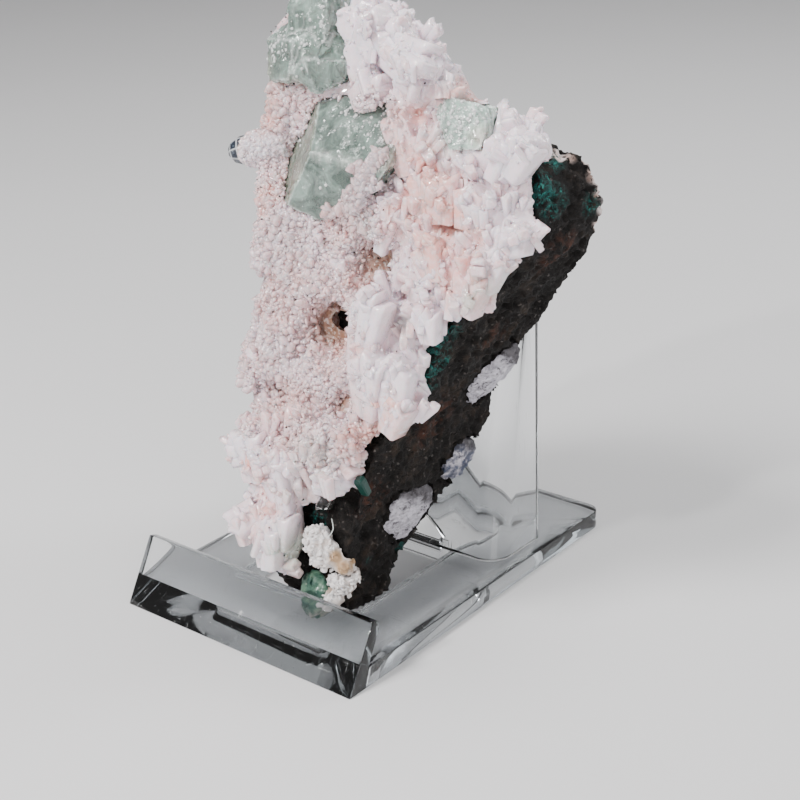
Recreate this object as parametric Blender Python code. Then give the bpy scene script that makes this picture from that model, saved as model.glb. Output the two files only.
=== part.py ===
"""Green apophyllite and stilbite on basalt, leaning in a clear plastic easel.

Run with: blender --background --python part.py

Positions are written in millimetres from the front left bottom corner of the
easel's base: +X runs to the right along the lip, +Y runs back, +Z is up. The
last step moves the whole model so that the middle of its footprint is the origin.
"""

import math

import bmesh
import bpy
from mathutils import Matrix, Vector, noise
from mathutils.bvhtree import BVHTree
from mathutils.geometry import delaunay_2d_cdt

MM = 0.001
GAP = 0.3               # clearance between pieces that touch
UP = Vector((0, 0, 1))

# Easel: one moulded base with its lip, one moulded back support
BASE_WIDTH = 89.0
BASE_DEPTH = 127.0
BASE_THICKNESS = 6.0
BASE_CORNER = 4.5       # radius of the two rear corners
LIP_HEIGHT = 19.0
LIP_THICKNESS = 4.2
LIP_LEAN = 30.0         # degrees back from upright
SLOT_LEFT = 22.5
SLOT_RIGHT = 66.5
SLOT_FRONT = 21.5
SLOT_REAR = 109.0
SLOT_FRONT_CORNER = 4.0
SLOT_REAR_CORNER = 10.0

SUPPORT_LEFT = 4.5
SUPPORT_RIGHT = 84.5
SUPPORT_FRONT = 74.0
SUPPORT_REAR = 97.0
SUPPORT_TOP = 80.0
SUPPORT_LEAN = 8.0      # degrees that its front wall leans back
SUPPORT_WALL = 2.5
SUPPORT_CORNER = 8.0
ARCH_RADIUS = 25.9
ARCH_CENTRE_Z = -7.7
TONGUE_BOTTOM = 1.0
TONGUE_TOP = 4.5
TONGUE_TAB = 3.4        # width of each upright end of the tongue

# Crystal face: the plane that the crystals' front lies in, y = A + B z + C x
FACE_START = 2.0
FACE_LEAN = 0.28
FACE_TURN = 0.11

# Basalt, as level sections: height, then the front left, front right,
# back right and back left corners in plan
BASALT_SECTIONS = (
    (6.5, (50, 25), (69.5, 24), (71, 35), (53, 34)),
    (12.0, (40.5, 22.5), (70, 20), (71.5, 42), (44, 43)),
    (20.0, (38.5, 22.5), (70, 19.5), (72, 50), (39, 52)),
    (33.0, (37.5, 25), (73, 21), (74.5, 65), (32, 64)),
    (43.0, (38, 27), (76, 22), (77.5, 72), (25, 72)),
    (53.0, (37, 29), (78, 24), (80.5, 78), (18, 78)),
    (64.0, (36, 32), (81, 28), (83, 82), (13, 81.5)),
    (79.0, (35, 37), (90, 36), (91.5, 84), (9, 83)),
    (91.0, (35, 40), (93, 39), (99.5, 85), (8, 85)),
    (101.0, (35, 43), (101, 44), (104.5, 88), (9, 86)),
    (112.0, (33, 46), (110, 49), (112, 88), (12, 86)),
    (121.0, (32, 49), (113, 52), (115.5, 86), (16, 84)),
    (128.0, (32, 51), (114, 55), (116.5, 82), (20, 82)),
    (135.0, (33, 53), (113, 58), (114, 77), (25, 79)),
    (142.0, (34, 55), (106, 62), (104, 74), (30, 76)),
    (150.0, (36, 58), (86, 62), (84, 74), (35, 74)),
    (158.0, (40, 61), (72, 64), (70, 72), (42, 72)),
    (164.0, (48, 64), (62, 65), (61, 70), (49, 70)),
)
BASALT_ROWS = 28
BASALT_AROUND = 32

# Outline of the crystal crust on the crystal face, as (x, z)
CRUST_OUTLINE = (
    (33.5, 28.5), (36.5, 38.5), (35.5, 45), (31.5, 48.5), (29, 53.5), (35.5, 60.5), (36, 66.5),
    (30.5, 74.5), (32, 88.5), (35.5, 101.5), (29, 109), (25.5, 113), (30.5, 119.5), (27, 129),
    (27.5, 140.5), (29.5, 150.5), (25, 156), (24.5, 166), (33, 175), (44, 180), (55, 180),
    (62, 176), (69, 174), (79.5, 166.5), (88.5, 158.5), (92.5, 153.5), (107, 150), (114.5, 146.5),
    (117, 141.5), (112, 136.5), (114, 127), (120, 124), (115.5, 118.5), (111.5, 114),
    (106.5, 109), (106, 100.5), (93.5, 100.5), (93.5, 94.5), (88.5, 89.5), (90, 80.5),
    (92, 72.5), (83.5, 66.5), (76, 60), (77, 53), (74, 48.5), (66.5, 49.5), (63.5, 42.5),
    (55, 40.5), (57.5, 30.5), (55, 21), (47.5, 19.5), (42.5, 23), (43, 28.5),
)
CRUST_GRID = 5.5        # spacing of the points on the crust's front
CRUST_RISE = 4.5        # how far its middle stands in front of its rim
CRUST_RIM = 2.0         # how far its rim runs back
CRUST_DEPTH = 15.0      # how far its middle runs back before it is trimmed to the basalt

# Hollows in the crust: x, z, half width, half height, depth
CRUST_HOLLOWS = (
    (59.7, 91.5, 9, 7, 9), (70.3, 110.5, 6, 7, 7), (81.4, 104.7, 3.5, 3, 5),
    (78.4, 98.5, 3, 3, 4), (45, 71, 8, 4, 4), (66, 71, 6, 5, 4), (93, 124, 5, 4, 3),
    (37, 133, 6, 11, 6),
)
# Rounded banks of fine crystals: x, z, half width, half height, height
CRUST_BANKS = (
    (40, 108, 13, 10, 5), (44, 88, 9, 7, 4), (38, 78, 7, 6, 3), (52, 100, 8, 8, 3),
    (58, 79, 10, 5, 3), (44, 57, 9, 8, 4), (70, 57, 7, 4, 3), (92, 112, 9, 8, 3),
    (104, 128, 8, 9, 3), (110, 143, 6, 5, 3), (31, 144, 4, 6, 2), (66, 124, 8, 7, 3),
    (46, 36, 7, 8, 3), (50, 26, 5, 5, 3),
)

# Stilbite blades: foot x, foot z, lean in the face from upright (degrees, to the right),
# length, width, thickness, tilt out of the face (degrees)
STILBITE_BLADES = (
    (55, 160, 5, 15, 10, 7, 10), (60, 160, 31, 17, 10, 8, 20), (66, 163, 59, 12, 8, 7, 20),
    (64, 166, 107, 26, 10, 8, 22), (57, 157, 34, 11, 9, 8, 16), (86, 152, 23, 8, 8, 7, 14),
    (73, 151, 68, 12, 7, 8, 22), (62, 151, 57, 11, 9, 8, 22), (79, 136, -10, 15, 8, 8, 16),
    (85, 137, 0, 11, 6, 7, 16), (91, 125, -3, 12, 8, 8, 18), (85, 126, -4, 10, 5, 7, 16),
    (91, 136, -7, 9, 6, 6, 12), (97, 136, 12, 8, 5, 5, 12), (103, 137, 17, 11, 7, 7, 14),
    (109, 138, 28, 11, 8, 8, 14), (72, 115, 26, 17, 5, 6, 22), (72, 86, 15, 21, 10, 8, 16),
    (76, 73, 9, 17, 9, 8, 18), (84, 71, 3, 19, 8, 7, 12), (84, 69, 28, 10, 7, 7, 14),
    (92, 94, -7, 8, 6, 6, 16), (106, 110, 24, 11, 7, 7, 16), (112, 119, 18, 8, 5, 6, 16),
    (102, 103, 13, 11, 7, 7, 14), (98, 107, 131, 8, 6, 6, 20), (42, 55, -100, 10, 10, 7, 14),
    (41, 48, -4, 15, 7, 7, 14), (43, 38, -140, 10, 8, 7, 14), (37, 73, -78, 5, 4, 4, 12),
    (36, 83, 15, 18, 4, 4, 8), (54, 50, 14, 22, 5, 6, 18), (59, 54, 26, 15, 6, 6, 20),
    (52, 42, -18, 18, 7, 7, 18), (64, 50, 72, 9, 7, 7, 18), (73, 59, -23, 8, 6, 6, 18),
    (50, 25, -5, 13, 9, 8, 10), (53, 31, 6, 10, 7, 7, 12), (61, 82, -47, 9, 7, 6, 22),
    (44, 113, -63, 11, 7, 6, 20), (98, 124, 10, 11, 7, 6, 16), (90, 110, -12, 10, 7, 6, 18),
)

# Apophyllite crystals, each by its corners
MIDDLE_CRYSTAL = (
    (48.1, 45.9, 150.5), (55.8, 48.0, 152.2), (72.0, 49.6, 152.5), (77.5, 44.8, 144.9),
    (77.6, 38.0, 136.6), (68.6, 38.1, 138.0), (51.9, 37.0, 138.6), (54.5, 36.5, 119.7),
    (67.2, 37.5, 124.1), (42.8, 35.9, 122.6), (33.8, 43.2, 123.6), (33.3, 48.3, 133.0), (39.3, 48.4, 142.2),
    (49, 60, 149), (72, 62, 150), (76, 58, 140), (66, 54, 126), (54, 52, 121), (44, 54, 126),
)
UPPER_CRYSTALS = (
    ((29, 46, 157.5), (28, 47.5, 165.5), (37, 50, 171), (33, 42.5, 154.5), (43, 40, 156.5),
     (45, 40.5, 167), (49, 45, 170.5), (49, 44, 154), (31, 57, 158), (30, 58, 166),
     (48, 61, 170), (50, 57, 155)),
    ((37, 50, 176), (39, 49, 182.5), (51, 50, 184.5), (52, 50, 175.5), (40, 43, 166.5),
     (53, 44, 166), (52.5, 46, 175), (39, 45, 174), (37, 59, 170), (52, 62, 183),
     (40, 60, 181), (54, 58, 168)),
    ((43, 40.5, 157), (49, 39, 163), (58, 47.5, 161.5), (57.5, 47, 156.5), (51, 42, 152.5),
     (55, 50, 168.5), (47, 43, 169), (46, 56, 156), (57, 58, 158), (54, 60, 167), (46, 58, 166)),
)
SIDE_CRYSTAL = (
    (84.7, 50.2, 153.5), (90.3, 48.6, 155.3), (97.2, 49.4, 154.6), (101.3, 50.2, 149.7),
    (101.8, 46.6, 142.8), (93.1, 44.6, 142.0), (88, 46.4, 147.8), (88, 59, 151), (99, 60, 151),
    (99, 57, 143), (92, 55, 143),
)
ROD_BASE = (33.5, 47.0, 137.5)
ROD_TIP = (18.8, 39.6, 133.6)
ROD_RADIUS = 4.2

# Mineral fills in the basalt: middle, half sizes (along, across, deep), direction
# along the fill; each is seated on the surface that is nearest to its middle
FILLS = {
    "fill_long": ((86, 71.5, 69.5), (13, 7.5, 3.2), (10, 14, 17)),
    "fill_blue": ((76, 67.5, 43), (8, 7, 3.0), (3, 8, 8)),
    "fill_broad": ((71, 47, 32.5), (12, 9.5, 3.4), (4, 12, 7)),
}
FILL_SINK = 1.9         # how far a fill's middle lies under the surface

# Pale knobs on the basalt below the crust: the middle and radius of each
# lump that it is made of
KNOBS = {
    "knob_white": (((63.5, 19.0, 32.5), 5.2), ((67.5, 19.4, 30.0), 4.6), ((64.5, 19.5, 28.0), 4.2),
                   ((71.0, 20.5, 26.8), 3.6)),
    "knob_green": (((60.6, 19.4, 17.6), 4.8), ((64.2, 19.4, 16.6), 3.8), ((61.5, 17.3, 11.4), 4.6)),
    "knob_bladed": (((70.2, 20.4, 20.6), 4.2), ((67.6, 18.8, 16.2), 3.8), ((65.6, 17.6, 12.8), 2.6),
                    ((72.6, 22.6, 23.2), 2.8)),
}

# Vesicles broken open on the basalt's right side: middle, half sizes
VESICLES = (
    ((72, 36, 24), 2.6), ((71, 42, 18), 2.4), ((69, 34, 14), 2.8), ((73, 28, 27), 2.2),
    ((71, 48, 25), 2.0), ((79, 44, 50), 2.2), ((86, 46, 66), 2.4), ((98, 60, 92), 2.6),
    ((106, 66, 104), 2.2), ((112, 66, 120), 2.6), ((90, 84, 70), 2.0), ((70, 52, 60), 2.0),
)


def face_y(x, z):
    """The y of the crystal face at x and z."""
    return FACE_START + FACE_LEAN * z + FACE_TURN * x


FACE_OUT = Vector((FACE_TURN, -1, FACE_LEAN)).normalized()
FACE_UP = (UP - UP.dot(FACE_OUT) * FACE_OUT).normalized()
FACE_RIGHT = FACE_UP.cross(FACE_OUT).normalized()
if FACE_RIGHT.x < 0:
    FACE_RIGHT.negate()


def clear_scene():
    for item in list(bpy.data.objects):
        bpy.data.objects.remove(item, do_unlink=True)


def material(name, colour, roughness, transmission=0.0, ior=1.5):
    """A plain Principled material."""
    made = bpy.data.materials.new(name)
    made.use_nodes = True
    shader = made.node_tree.nodes["Principled BSDF"]
    shader.inputs["Base Color"].default_value = (*colour, 1)
    shader.inputs["Roughness"].default_value = roughness
    shader.inputs["Metallic"].default_value = 0.0
    shader.inputs["Transmission Weight"].default_value = transmission
    shader.inputs["IOR"].default_value = ior
    made.diffuse_color = (*colour, 1)
    return made


def object_from(bm, name, finish=None):
    """Turn a bmesh in millimetres into an object in metres."""
    bmesh.ops.recalc_face_normals(bm, faces=bm.faces)
    bmesh.ops.scale(bm, vec=(MM, MM, MM), verts=bm.verts)
    mesh = bpy.data.meshes.new(name)
    bm.to_mesh(mesh)
    bm.free()
    made = bpy.data.objects.new(name, mesh)
    bpy.context.scene.collection.objects.link(made)
    if finish:
        mesh.materials.append(finish)
    return made


def remove(item):
    mesh = item.data
    bpy.data.objects.remove(item, do_unlink=True)
    bpy.data.meshes.remove(mesh)


def boolean(target, tool, operation, keep_tool=False):
    """Cut or join two closed objects and keep the result in the target."""
    step = target.modifiers.new(operation.lower(), "BOOLEAN")
    step.object = tool
    step.operation = operation
    step.solver = "EXACT"
    depsgraph = bpy.context.evaluated_depsgraph_get()
    depsgraph.update()
    result = bpy.data.meshes.new_from_object(target.evaluated_get(depsgraph))
    target.modifiers.clear()
    old = target.data
    target.data = result
    result.name = target.name
    bpy.data.meshes.remove(old)
    if not keep_tool:
        remove(tool)
    return target


def tidy(item, merge=0.02):
    """Weld slivers, drop loose scraps and keep the largest connected body."""
    bm = bmesh.new()
    bm.from_mesh(item.data)
    bmesh.ops.remove_doubles(bm, verts=bm.verts, dist=merge * MM)
    bmesh.ops.dissolve_degenerate(bm, edges=bm.edges, dist=merge * MM)
    bmesh.ops.triangulate(bm, faces=bm.faces)
    unseen = set(bm.faces)
    bodies = []
    while unseen:
        stack = [unseen.pop()]
        body = []
        while stack:
            face = stack.pop()
            body.append(face)
            for edge in face.edges:
                if len(edge.link_faces) != 2:
                    continue
                for other in edge.link_faces:
                    if other in unseen:
                        unseen.remove(other)
                        stack.append(other)
        bodies.append(body)
    bodies.sort(key=len)
    for body in bodies[:-1]:
        bmesh.ops.delete(bm, geom=body, context="FACES")
    loose = [vertex for vertex in bm.verts if not vertex.link_faces]
    bmesh.ops.delete(bm, geom=loose, context="VERTS")
    bmesh.ops.recalc_face_normals(bm, faces=bm.faces)
    bm.to_mesh(item.data)
    bm.free()
    return item


def swollen(item, distance, name="cutter"):
    """A copy of a closed object with its surface moved out by a distance."""
    bm = bmesh.new()
    bm.from_mesh(item.data)
    bm.normal_update()
    offsets = [vertex.normal * vertex.calc_shell_factor() for vertex in bm.verts]
    for vertex, offset in zip(bm.verts, offsets):
        length = min(offset.length, 1.6)
        vertex.co += offset.normalized() * length * distance * MM
    mesh = bpy.data.meshes.new(name)
    bm.to_mesh(mesh)
    bm.free()
    made = bpy.data.objects.new(name, mesh)
    bpy.context.scene.collection.objects.link(made)
    return made


def prism(bm, points, direction):
    """Add a closed prism: an outline swept along a direction."""
    near = [bm.verts.new(point) for point in points]
    far = [bm.verts.new(Vector(point) + Vector(direction)) for point in points]
    bm.faces.new(near)
    bm.faces.new(reversed(far))
    count = len(points)
    for i in range(count):
        j = (i + 1) % count
        bm.faces.new((near[i], near[j], far[j], far[i]))


def arc(centre, radius, start, end, steps):
    """Points on an arc in a plane, with its angles in degrees."""
    points = []
    for i in range(steps + 1):
        angle = math.radians(start + (end - start) * i / steps)
        points.append((centre[0] + radius * math.cos(angle), centre[1] + radius * math.sin(angle)))
    return points


def hull(corners, name, finish=None):
    """The flat-faced crystal that a set of corners spans."""
    bm = bmesh.new()
    for corner in corners:
        bm.verts.new(corner)
    result = bmesh.ops.convex_hull(bm, input=bm.verts)
    inside = [item for item in result["geom_interior"] if isinstance(item, bmesh.types.BMVert)]
    bmesh.ops.delete(bm, geom=inside, context="VERTS")
    bmesh.ops.dissolve_limit(bm, angle_limit=math.radians(1.5), verts=bm.verts, edges=bm.edges)
    return object_from(bm, name, finish)


def closed_spline(corners, steps):
    """A rounded ring through control points (Catmull-Rom)."""
    count = len(corners)
    ring = []
    for i in range(count):
        a, b, c, d = (Vector(corners[(i + k - 1) % count]) for k in range(4))
        for step in range(steps):
            t = step / steps
            ring.append(0.5 * (2 * b + (c - a) * t + (2 * a - 5 * b + 4 * c - d) * t * t
                               + (3 * b - a - 3 * c + d) * t ** 3))
    return ring


def fractal(point, size, octaves=3):
    """Smooth noise from -1 to 1 with features of a size in millimetres."""
    return noise.fractal(Vector(point) / size, 0.9, 2.0, octaves, noise_basis="PERLIN_ORIGINAL")


def make_base(finish):
    """The moulded base plate and its lip as one L-shaped bar, slotted."""
    lean = math.tan(math.radians(LIP_LEAN))
    across = LIP_THICKNESS / math.cos(math.radians(LIP_LEAN))
    top = LIP_HEIGHT
    back_top = (top * lean + across - 2.2, top - 0.9)
    profile = [
        (0, 0), (BASE_DEPTH, 0), (BASE_DEPTH, BASE_THICKNESS),
        (across + BASE_THICKNESS * lean, BASE_THICKNESS),
        (across + (top - 3.4) * lean, top - 3.4),
        (across + (top - 2.2) * lean - 0.5, top - 2.0), back_top, (top * lean, top),
    ]
    bm = bmesh.new()
    prism(bm, [(0, y, z) for y, z in profile], (BASE_WIDTH, 0, 0))
    corners = [edge for edge in bm.edges
               if all(vertex.co.y > BASE_DEPTH - 0.1 for vertex in edge.verts)
               and abs(edge.verts[0].co.x - edge.verts[1].co.x) < 0.1
               and abs(edge.verts[0].co.z - edge.verts[1].co.z) > 1]
    bmesh.ops.bevel(bm, geom=corners, offset=BASE_CORNER, segments=6, profile=0.5,
                    affect="EDGES")
    base = object_from(bm, "stand_base", finish)

    front, rear = SLOT_FRONT_CORNER, SLOT_REAR_CORNER
    outline = (
        arc((SLOT_RIGHT - front, SLOT_FRONT + front), front, -90, 0, 5)
        + arc((SLOT_RIGHT - rear, SLOT_REAR - rear), rear, 0, 90, 8)
        + arc((SLOT_LEFT + rear, SLOT_REAR - rear), rear, 90, 180, 8)
        + arc((SLOT_LEFT + front, SLOT_FRONT + front), front, 180, 270, 5)
    )
    bm = bmesh.new()
    prism(bm, [(x, y, -2) for x, y in outline], (0, 0, BASE_THICKNESS + 4))
    boolean(base, object_from(bm, "slot_cutter"), "DIFFERENCE")
    return tidy(base)


def support_path(front, inset):
    """The support's wall in plan from its rear right end round to its rear left end."""
    left, right = SUPPORT_LEFT + inset, SUPPORT_RIGHT - inset
    radius = SUPPORT_CORNER - inset
    edge = front + inset
    return (
        [(right, SUPPORT_REAR)]
        + arc((right - radius, edge + radius), radius, 0, -90, 7)
        + arc((left + radius, edge + radius), radius, 270, 180, 7)
        + [(left, SUPPORT_REAR)]
    )


def make_support(finish):
    """The moulded back support: a leaning front wall with a side wall at each end."""
    bottom = BASE_THICKNESS + GAP
    levels = (bottom, SUPPORT_TOP)
    lean = math.tan(math.radians(SUPPORT_LEAN))
    bm = bmesh.new()
    rings = []
    for z in levels:
        front = SUPPORT_FRONT + (z - bottom) * lean
        outline = support_path(front, 0) + support_path(front, SUPPORT_WALL)[::-1]
        rings.append([bm.verts.new((x, y, z)) for x, y in outline])
    low, high = rings
    count = len(low)
    for i in range(count):
        j = (i + 1) % count
        bm.faces.new((low[i], low[j], high[j], high[i]))
    for ring in (low, high):
        half = count // 2
        for i in range(half - 1):
            bm.faces.new((ring[i], ring[i + 1], ring[count - 2 - i], ring[count - 1 - i]))
    support = object_from(bm, "back_support", finish)

    middle = BASE_WIDTH / 2
    opening = [point for point in arc((middle, ARCH_CENTRE_Z), ARCH_RADIUS, 20, 160, 18)
               if point[1] > bottom - 1]
    bm = bmesh.new()
    prism(bm, [(x, SUPPORT_FRONT - 3, z) for x, z in opening], (0, 12, 0))
    boolean(support, object_from(bm, "arch_cutter"), "DIFFERENCE")

    left, right = SLOT_LEFT + GAP, SLOT_RIGHT - GAP
    tab_top = bottom + 3.2
    tongue = (
        (left, TONGUE_BOTTOM), (right, TONGUE_BOTTOM), (right, tab_top),
        (right - TONGUE_TAB, tab_top), (right - TONGUE_TAB, TONGUE_TOP),
        (left + TONGUE_TAB, TONGUE_TOP), (left + TONGUE_TAB, tab_top), (left, tab_top),
    )
    bm = bmesh.new()
    prism(bm, [(x, SUPPORT_FRONT + 0.05, z) for x, z in tongue], (0, SUPPORT_WALL + 0.3, 0))
    boolean(support, object_from(bm, "tongue"), "UNION")
    return tidy(support)


def basalt_ring(t):
    """The basalt's outline at a place from 0 (foot) to 1 (top), as a rounded ring."""
    place = t * (len(BASALT_SECTIONS) - 1)
    index = min(int(place), len(BASALT_SECTIONS) - 2)
    blend = place - index
    low, high = BASALT_SECTIONS[index], BASALT_SECTIONS[index + 1]
    z = low[0] + (high[0] - low[0]) * blend
    corners = [Vector(a).lerp(Vector(b), blend) for a, b in zip(low[1:], high[1:])]
    controls = []
    middle = sum(corners, Vector((0, 0))) / 4
    for i, corner in enumerate(corners):
        following = corners[(i + 1) % 4]
        controls.append(corner.lerp(middle, 0.02))
        controls.append(corner.lerp(following, 0.16))
        controls.append(corner.lerp(following, 0.5))
        controls.append(corner.lerp(following, 0.84))
    return z, closed_spline(controls, BASALT_AROUND // 16)


def make_basalt(finish):
    """The vesicular basalt: lofted sections with lumps, ledges and open vesicles."""
    bm = bmesh.new()
    rings = []
    for row in range(BASALT_ROWS):
        z, ring = basalt_ring(row / (BASALT_ROWS - 1))
        rings.append([bm.verts.new((point.x, point.y, z)) for point in ring])
    count = len(rings[0])
    for low, high in zip(rings, rings[1:]):
        for i in range(count):
            j = (i + 1) % count
            bm.faces.new((low[i], low[j], high[j], high[i]))
    bm.faces.new(reversed(rings[0]))
    bm.faces.new(rings[-1])
    bmesh.ops.triangulate(bm, faces=bm.faces)
    bmesh.ops.recalc_face_normals(bm, faces=bm.faces)
    bm.normal_update()
    moves = []
    for vertex in bm.verts:
        point = vertex.co.copy()
        lump = 1.5 * fractal(point, 22) + 0.6 * fractal(point + Vector((40, 0, 0)), 7)
        ledge = 0.5 * math.sin(point.z * 0.55 + 0.2 * point.y + 2 * fractal(point, 30))
        moves.append(vertex.normal * (lump + ledge - 0.6))
    for vertex, move in zip(bm.verts, moves):
        vertex.co += move
        for centre, radius in VESICLES:
            away = vertex.co - Vector(centre)
            if away.length < radius * 1.6:
                vertex.co -= vertex.normal * radius * 0.6 * (1 - away.length / (radius * 1.6))
        vertex.co.z = max(vertex.co.z, BASE_THICKNESS + GAP)
    return object_from(bm, "basalt", finish)


def surface_of(item):
    """A search tree of an object's faces, in millimetres."""
    points = [vertex.co / MM for vertex in item.data.vertices]
    faces = [tuple(face.vertices) for face in item.data.polygons]
    return BVHTree.FromPolygons(points, faces)


def ellipsoid(name, centre, axes, halves, finish, lumpiness=0.0):
    """A lumpy ellipsoid with its half sizes along three axes."""
    bm = bmesh.new()
    bmesh.ops.create_icosphere(bm, subdivisions=2, radius=1)
    turn = Matrix((axes[0], axes[1], axes[2])).transposed()
    for vertex in bm.verts:
        point = Vector((vertex.co.x * halves[0], vertex.co.y * halves[1],
                        vertex.co.z * halves[2]))
        point = turn @ point + Vector(centre)
        point += (point - Vector(centre)) * lumpiness * fractal(point, 5, 2)
        vertex.co = point
    return object_from(bm, name, finish)


def make_fills(basalt, finish):
    """Amygdules: each seated in a socket cut in the basalt's side."""
    surface = surface_of(basalt)
    fills = []
    for name, (middle, halves, along) in FILLS.items():
        seat, normal, _, _ = surface.find_nearest(Vector(middle))
        long_axis = Vector(along)
        long_axis = (long_axis - long_axis.dot(normal) * normal).normalized()
        axes = (long_axis, normal.cross(long_axis), normal)
        fill = ellipsoid(name, seat - normal * FILL_SINK, axes, halves, finish, 0.16)
        boolean(basalt, swollen(fill, GAP), "DIFFERENCE")
        fills.append(fill)
    return fills


def make_knobs(rock_shell, finishes):
    """Pale knobs: lumps joined in one solid each, seated on the basalt."""
    knobs = []
    for name, lumps in KNOBS.items():
        knob = None
        for centre, radius in lumps:
            axes = (Vector((1, 0, 0)), Vector((0, 1, 0)), Vector((0, 0, 1)))
            lump = ellipsoid(name, centre, axes, (radius, radius * 0.9, radius * 0.95),
                             finishes[name], 0.22)
            knob = boolean(knob, lump, "UNION") if knob else lump
        for earlier in knobs:
            boolean(knob, swollen(earlier, GAP), "DIFFERENCE")
        boolean(knob, rock_shell, "DIFFERENCE", keep_tool=True)
        knobs.append(tidy(knob))
    return knobs


def outline_distance(point, outline):
    """Distance from a point to a closed outline."""
    best = 1e9
    for start, end in zip(outline, outline[1:] + outline[:1]):
        span = end - start
        t = max(0.0, min(1.0, (point - start).dot(span) / span.length_squared))
        best = min(best, (point - start - span * t).length)
    return best


def inside(point, outline):
    """Whether a point lies inside a closed outline."""
    hits = False
    for start, end in zip(outline, outline[1:] + outline[:1]):
        if (start.y > point.y) != (end.y > point.y):
            cross = start.x + (point.y - start.y) / (end.y - start.y) * (end.x - start.x)
            if point.x < cross:
                hits = not hits
    return hits


def mound(x, z, cx, cz, half_width, half_height):
    """A smooth bump: 1 in its middle and 0 outside its half sizes."""
    r = math.hypot((x - cx) / half_width, (z - cz) / half_height)
    return (1 - r * r) ** 2 if r < 1 else 0.0


def crust_relief(x, z, rim):
    """How far the crust's front stands out from the crystal face."""
    rise = min(1.0, rim / 9) ** 0.6
    relief = CRUST_RISE * (rise - 0.35)
    for cx, cz, half_width, half_height, height in CRUST_BANKS:
        relief += height * 0.8 * mound(x, z, cx, cz, half_width, half_height)
    relief += 1.6 * fractal((x, 5, z), 15, 2) + 1.0 * fractal((x, 50, z), 6.5, 2)
    for cx, cz, half_width, half_height, depth in CRUST_HOLLOWS:
        relief -= depth * 1.1 * mound(x, z, cx, cz, half_width * 1.2, half_height * 1.2)
    return relief


def make_crust_bed():
    """The crust without its blades: a thick relief that fills the crust's outline."""
    outline = [Vector(point) for point in CRUST_OUTLINE]
    rim_points = []
    for start, end in zip(outline, outline[1:] + outline[:1]):
        pieces = max(1, round((end - start).length / (CRUST_GRID * 1.3)))
        rim_points += [start.lerp(end, i / pieces) for i in range(pieces)]
    rim_count = len(rim_points)
    points = list(rim_points)
    xs = [point.x for point in outline]
    zs = [point.y for point in outline]
    row = 0
    z = min(zs)
    while z < max(zs):
        x = min(xs) + (CRUST_GRID / 2 if row % 2 else 0)
        while x < max(xs):
            shift = Vector((fractal((x, 0, z), 3, 1), fractal((x, 9, z), 3, 1))) * 0.9
            point = Vector((x, z)) + shift
            if inside(point, rim_points) and outline_distance(point, rim_points) > 1.5:
                points.append(point)
            x += CRUST_GRID
        z += CRUST_GRID * 0.87
        row += 1
    edges = [(i, (i + 1) % rim_count) for i in range(rim_count)]
    verts, _, faces, _, _, _ = delaunay_2d_cdt(points, edges, [], 1, 0.001)
    bm = bmesh.new()
    front = []
    back = []
    for point in verts:
        x, z = point
        rim = outline_distance(point, rim_points)
        plane = face_y(x, z)
        relief = crust_relief(x, z, rim)
        depth = CRUST_RIM + (CRUST_DEPTH - CRUST_RIM) * min(1.0, rim / 10)
        front.append(bm.verts.new((x, plane - relief, z)))
        back.append(bm.verts.new((x, plane + max(depth, 1.5 - relief), z)))
    for face in faces:
        bm.faces.new([front[i] for i in face])
        bm.faces.new([back[i] for i in reversed(face)])
    for i, j in edges:
        bm.faces.new((front[i], front[j], back[j], back[i]))
    return object_from(bm, "crystal_crust")


def blade_corners(foot, along, wide, out, length, width, thickness):
    """A stilbite blade: a flat prism that narrows to a blunt wedge at its end."""
    half, deep = width / 2, thickness / 2
    stations = ((0.0, 0.70, 0.8), (0.25, 0.95, 1.0), (0.72, 1.0, 1.0), (0.92, 0.62, 0.9),
                (1.0, 0.22, 0.55))
    corners = []
    for reach, spread, fat in stations:
        spot = foot + along * length * reach
        for side in (-1, 1):
            for front in (-1, 1):
                bevel = 0.86 if front > 0 else 1.0
                corners.append(spot + wide * half * spread * side * bevel
                               + out * deep * fat * front)
    return corners


def make_crust(rock_shell, crystals, knobs, finish):
    """Stilbite blades and druse grown together, trimmed to what they grow on."""
    crust = make_crust_bed()
    for foot_x, foot_z, lean, length, width, thickness, tilt in STILBITE_BLADES:
        lean, tilt = math.radians(lean), math.radians(tilt)
        flat = FACE_UP * math.cos(lean) + FACE_RIGHT * math.sin(lean)
        along = (flat * math.cos(tilt) + FACE_OUT * math.sin(tilt)).normalized()
        wide = along.cross(FACE_OUT).normalized()
        out = wide.cross(along).normalized()
        if out.dot(FACE_OUT) < 0:
            out.negate()
        foot = Vector((foot_x, face_y(foot_x, foot_z) - 1.5, foot_z))
        corners = blade_corners(foot, along, wide, out, length, width, thickness)
        boolean(crust, hull(corners, "blade"), "UNION")
    tidy(crust)
    boolean(crust, rock_shell, "DIFFERENCE", keep_tool=True)
    tidy(crust)
    for corners in UPPER_CRYSTALS:
        block = hull(corners, "block")
        boolean(crust, swollen(block, GAP * 1.3), "DIFFERENCE")
        remove(block)
    for neighbour in crystals + knobs:
        boolean(crust, swollen(neighbour, GAP), "DIFFERENCE")
    crust.data.materials.clear()
    crust.data.materials.append(finish)
    crust.name = "crystal_crust"
    return tidy(crust, 0.05)


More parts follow.
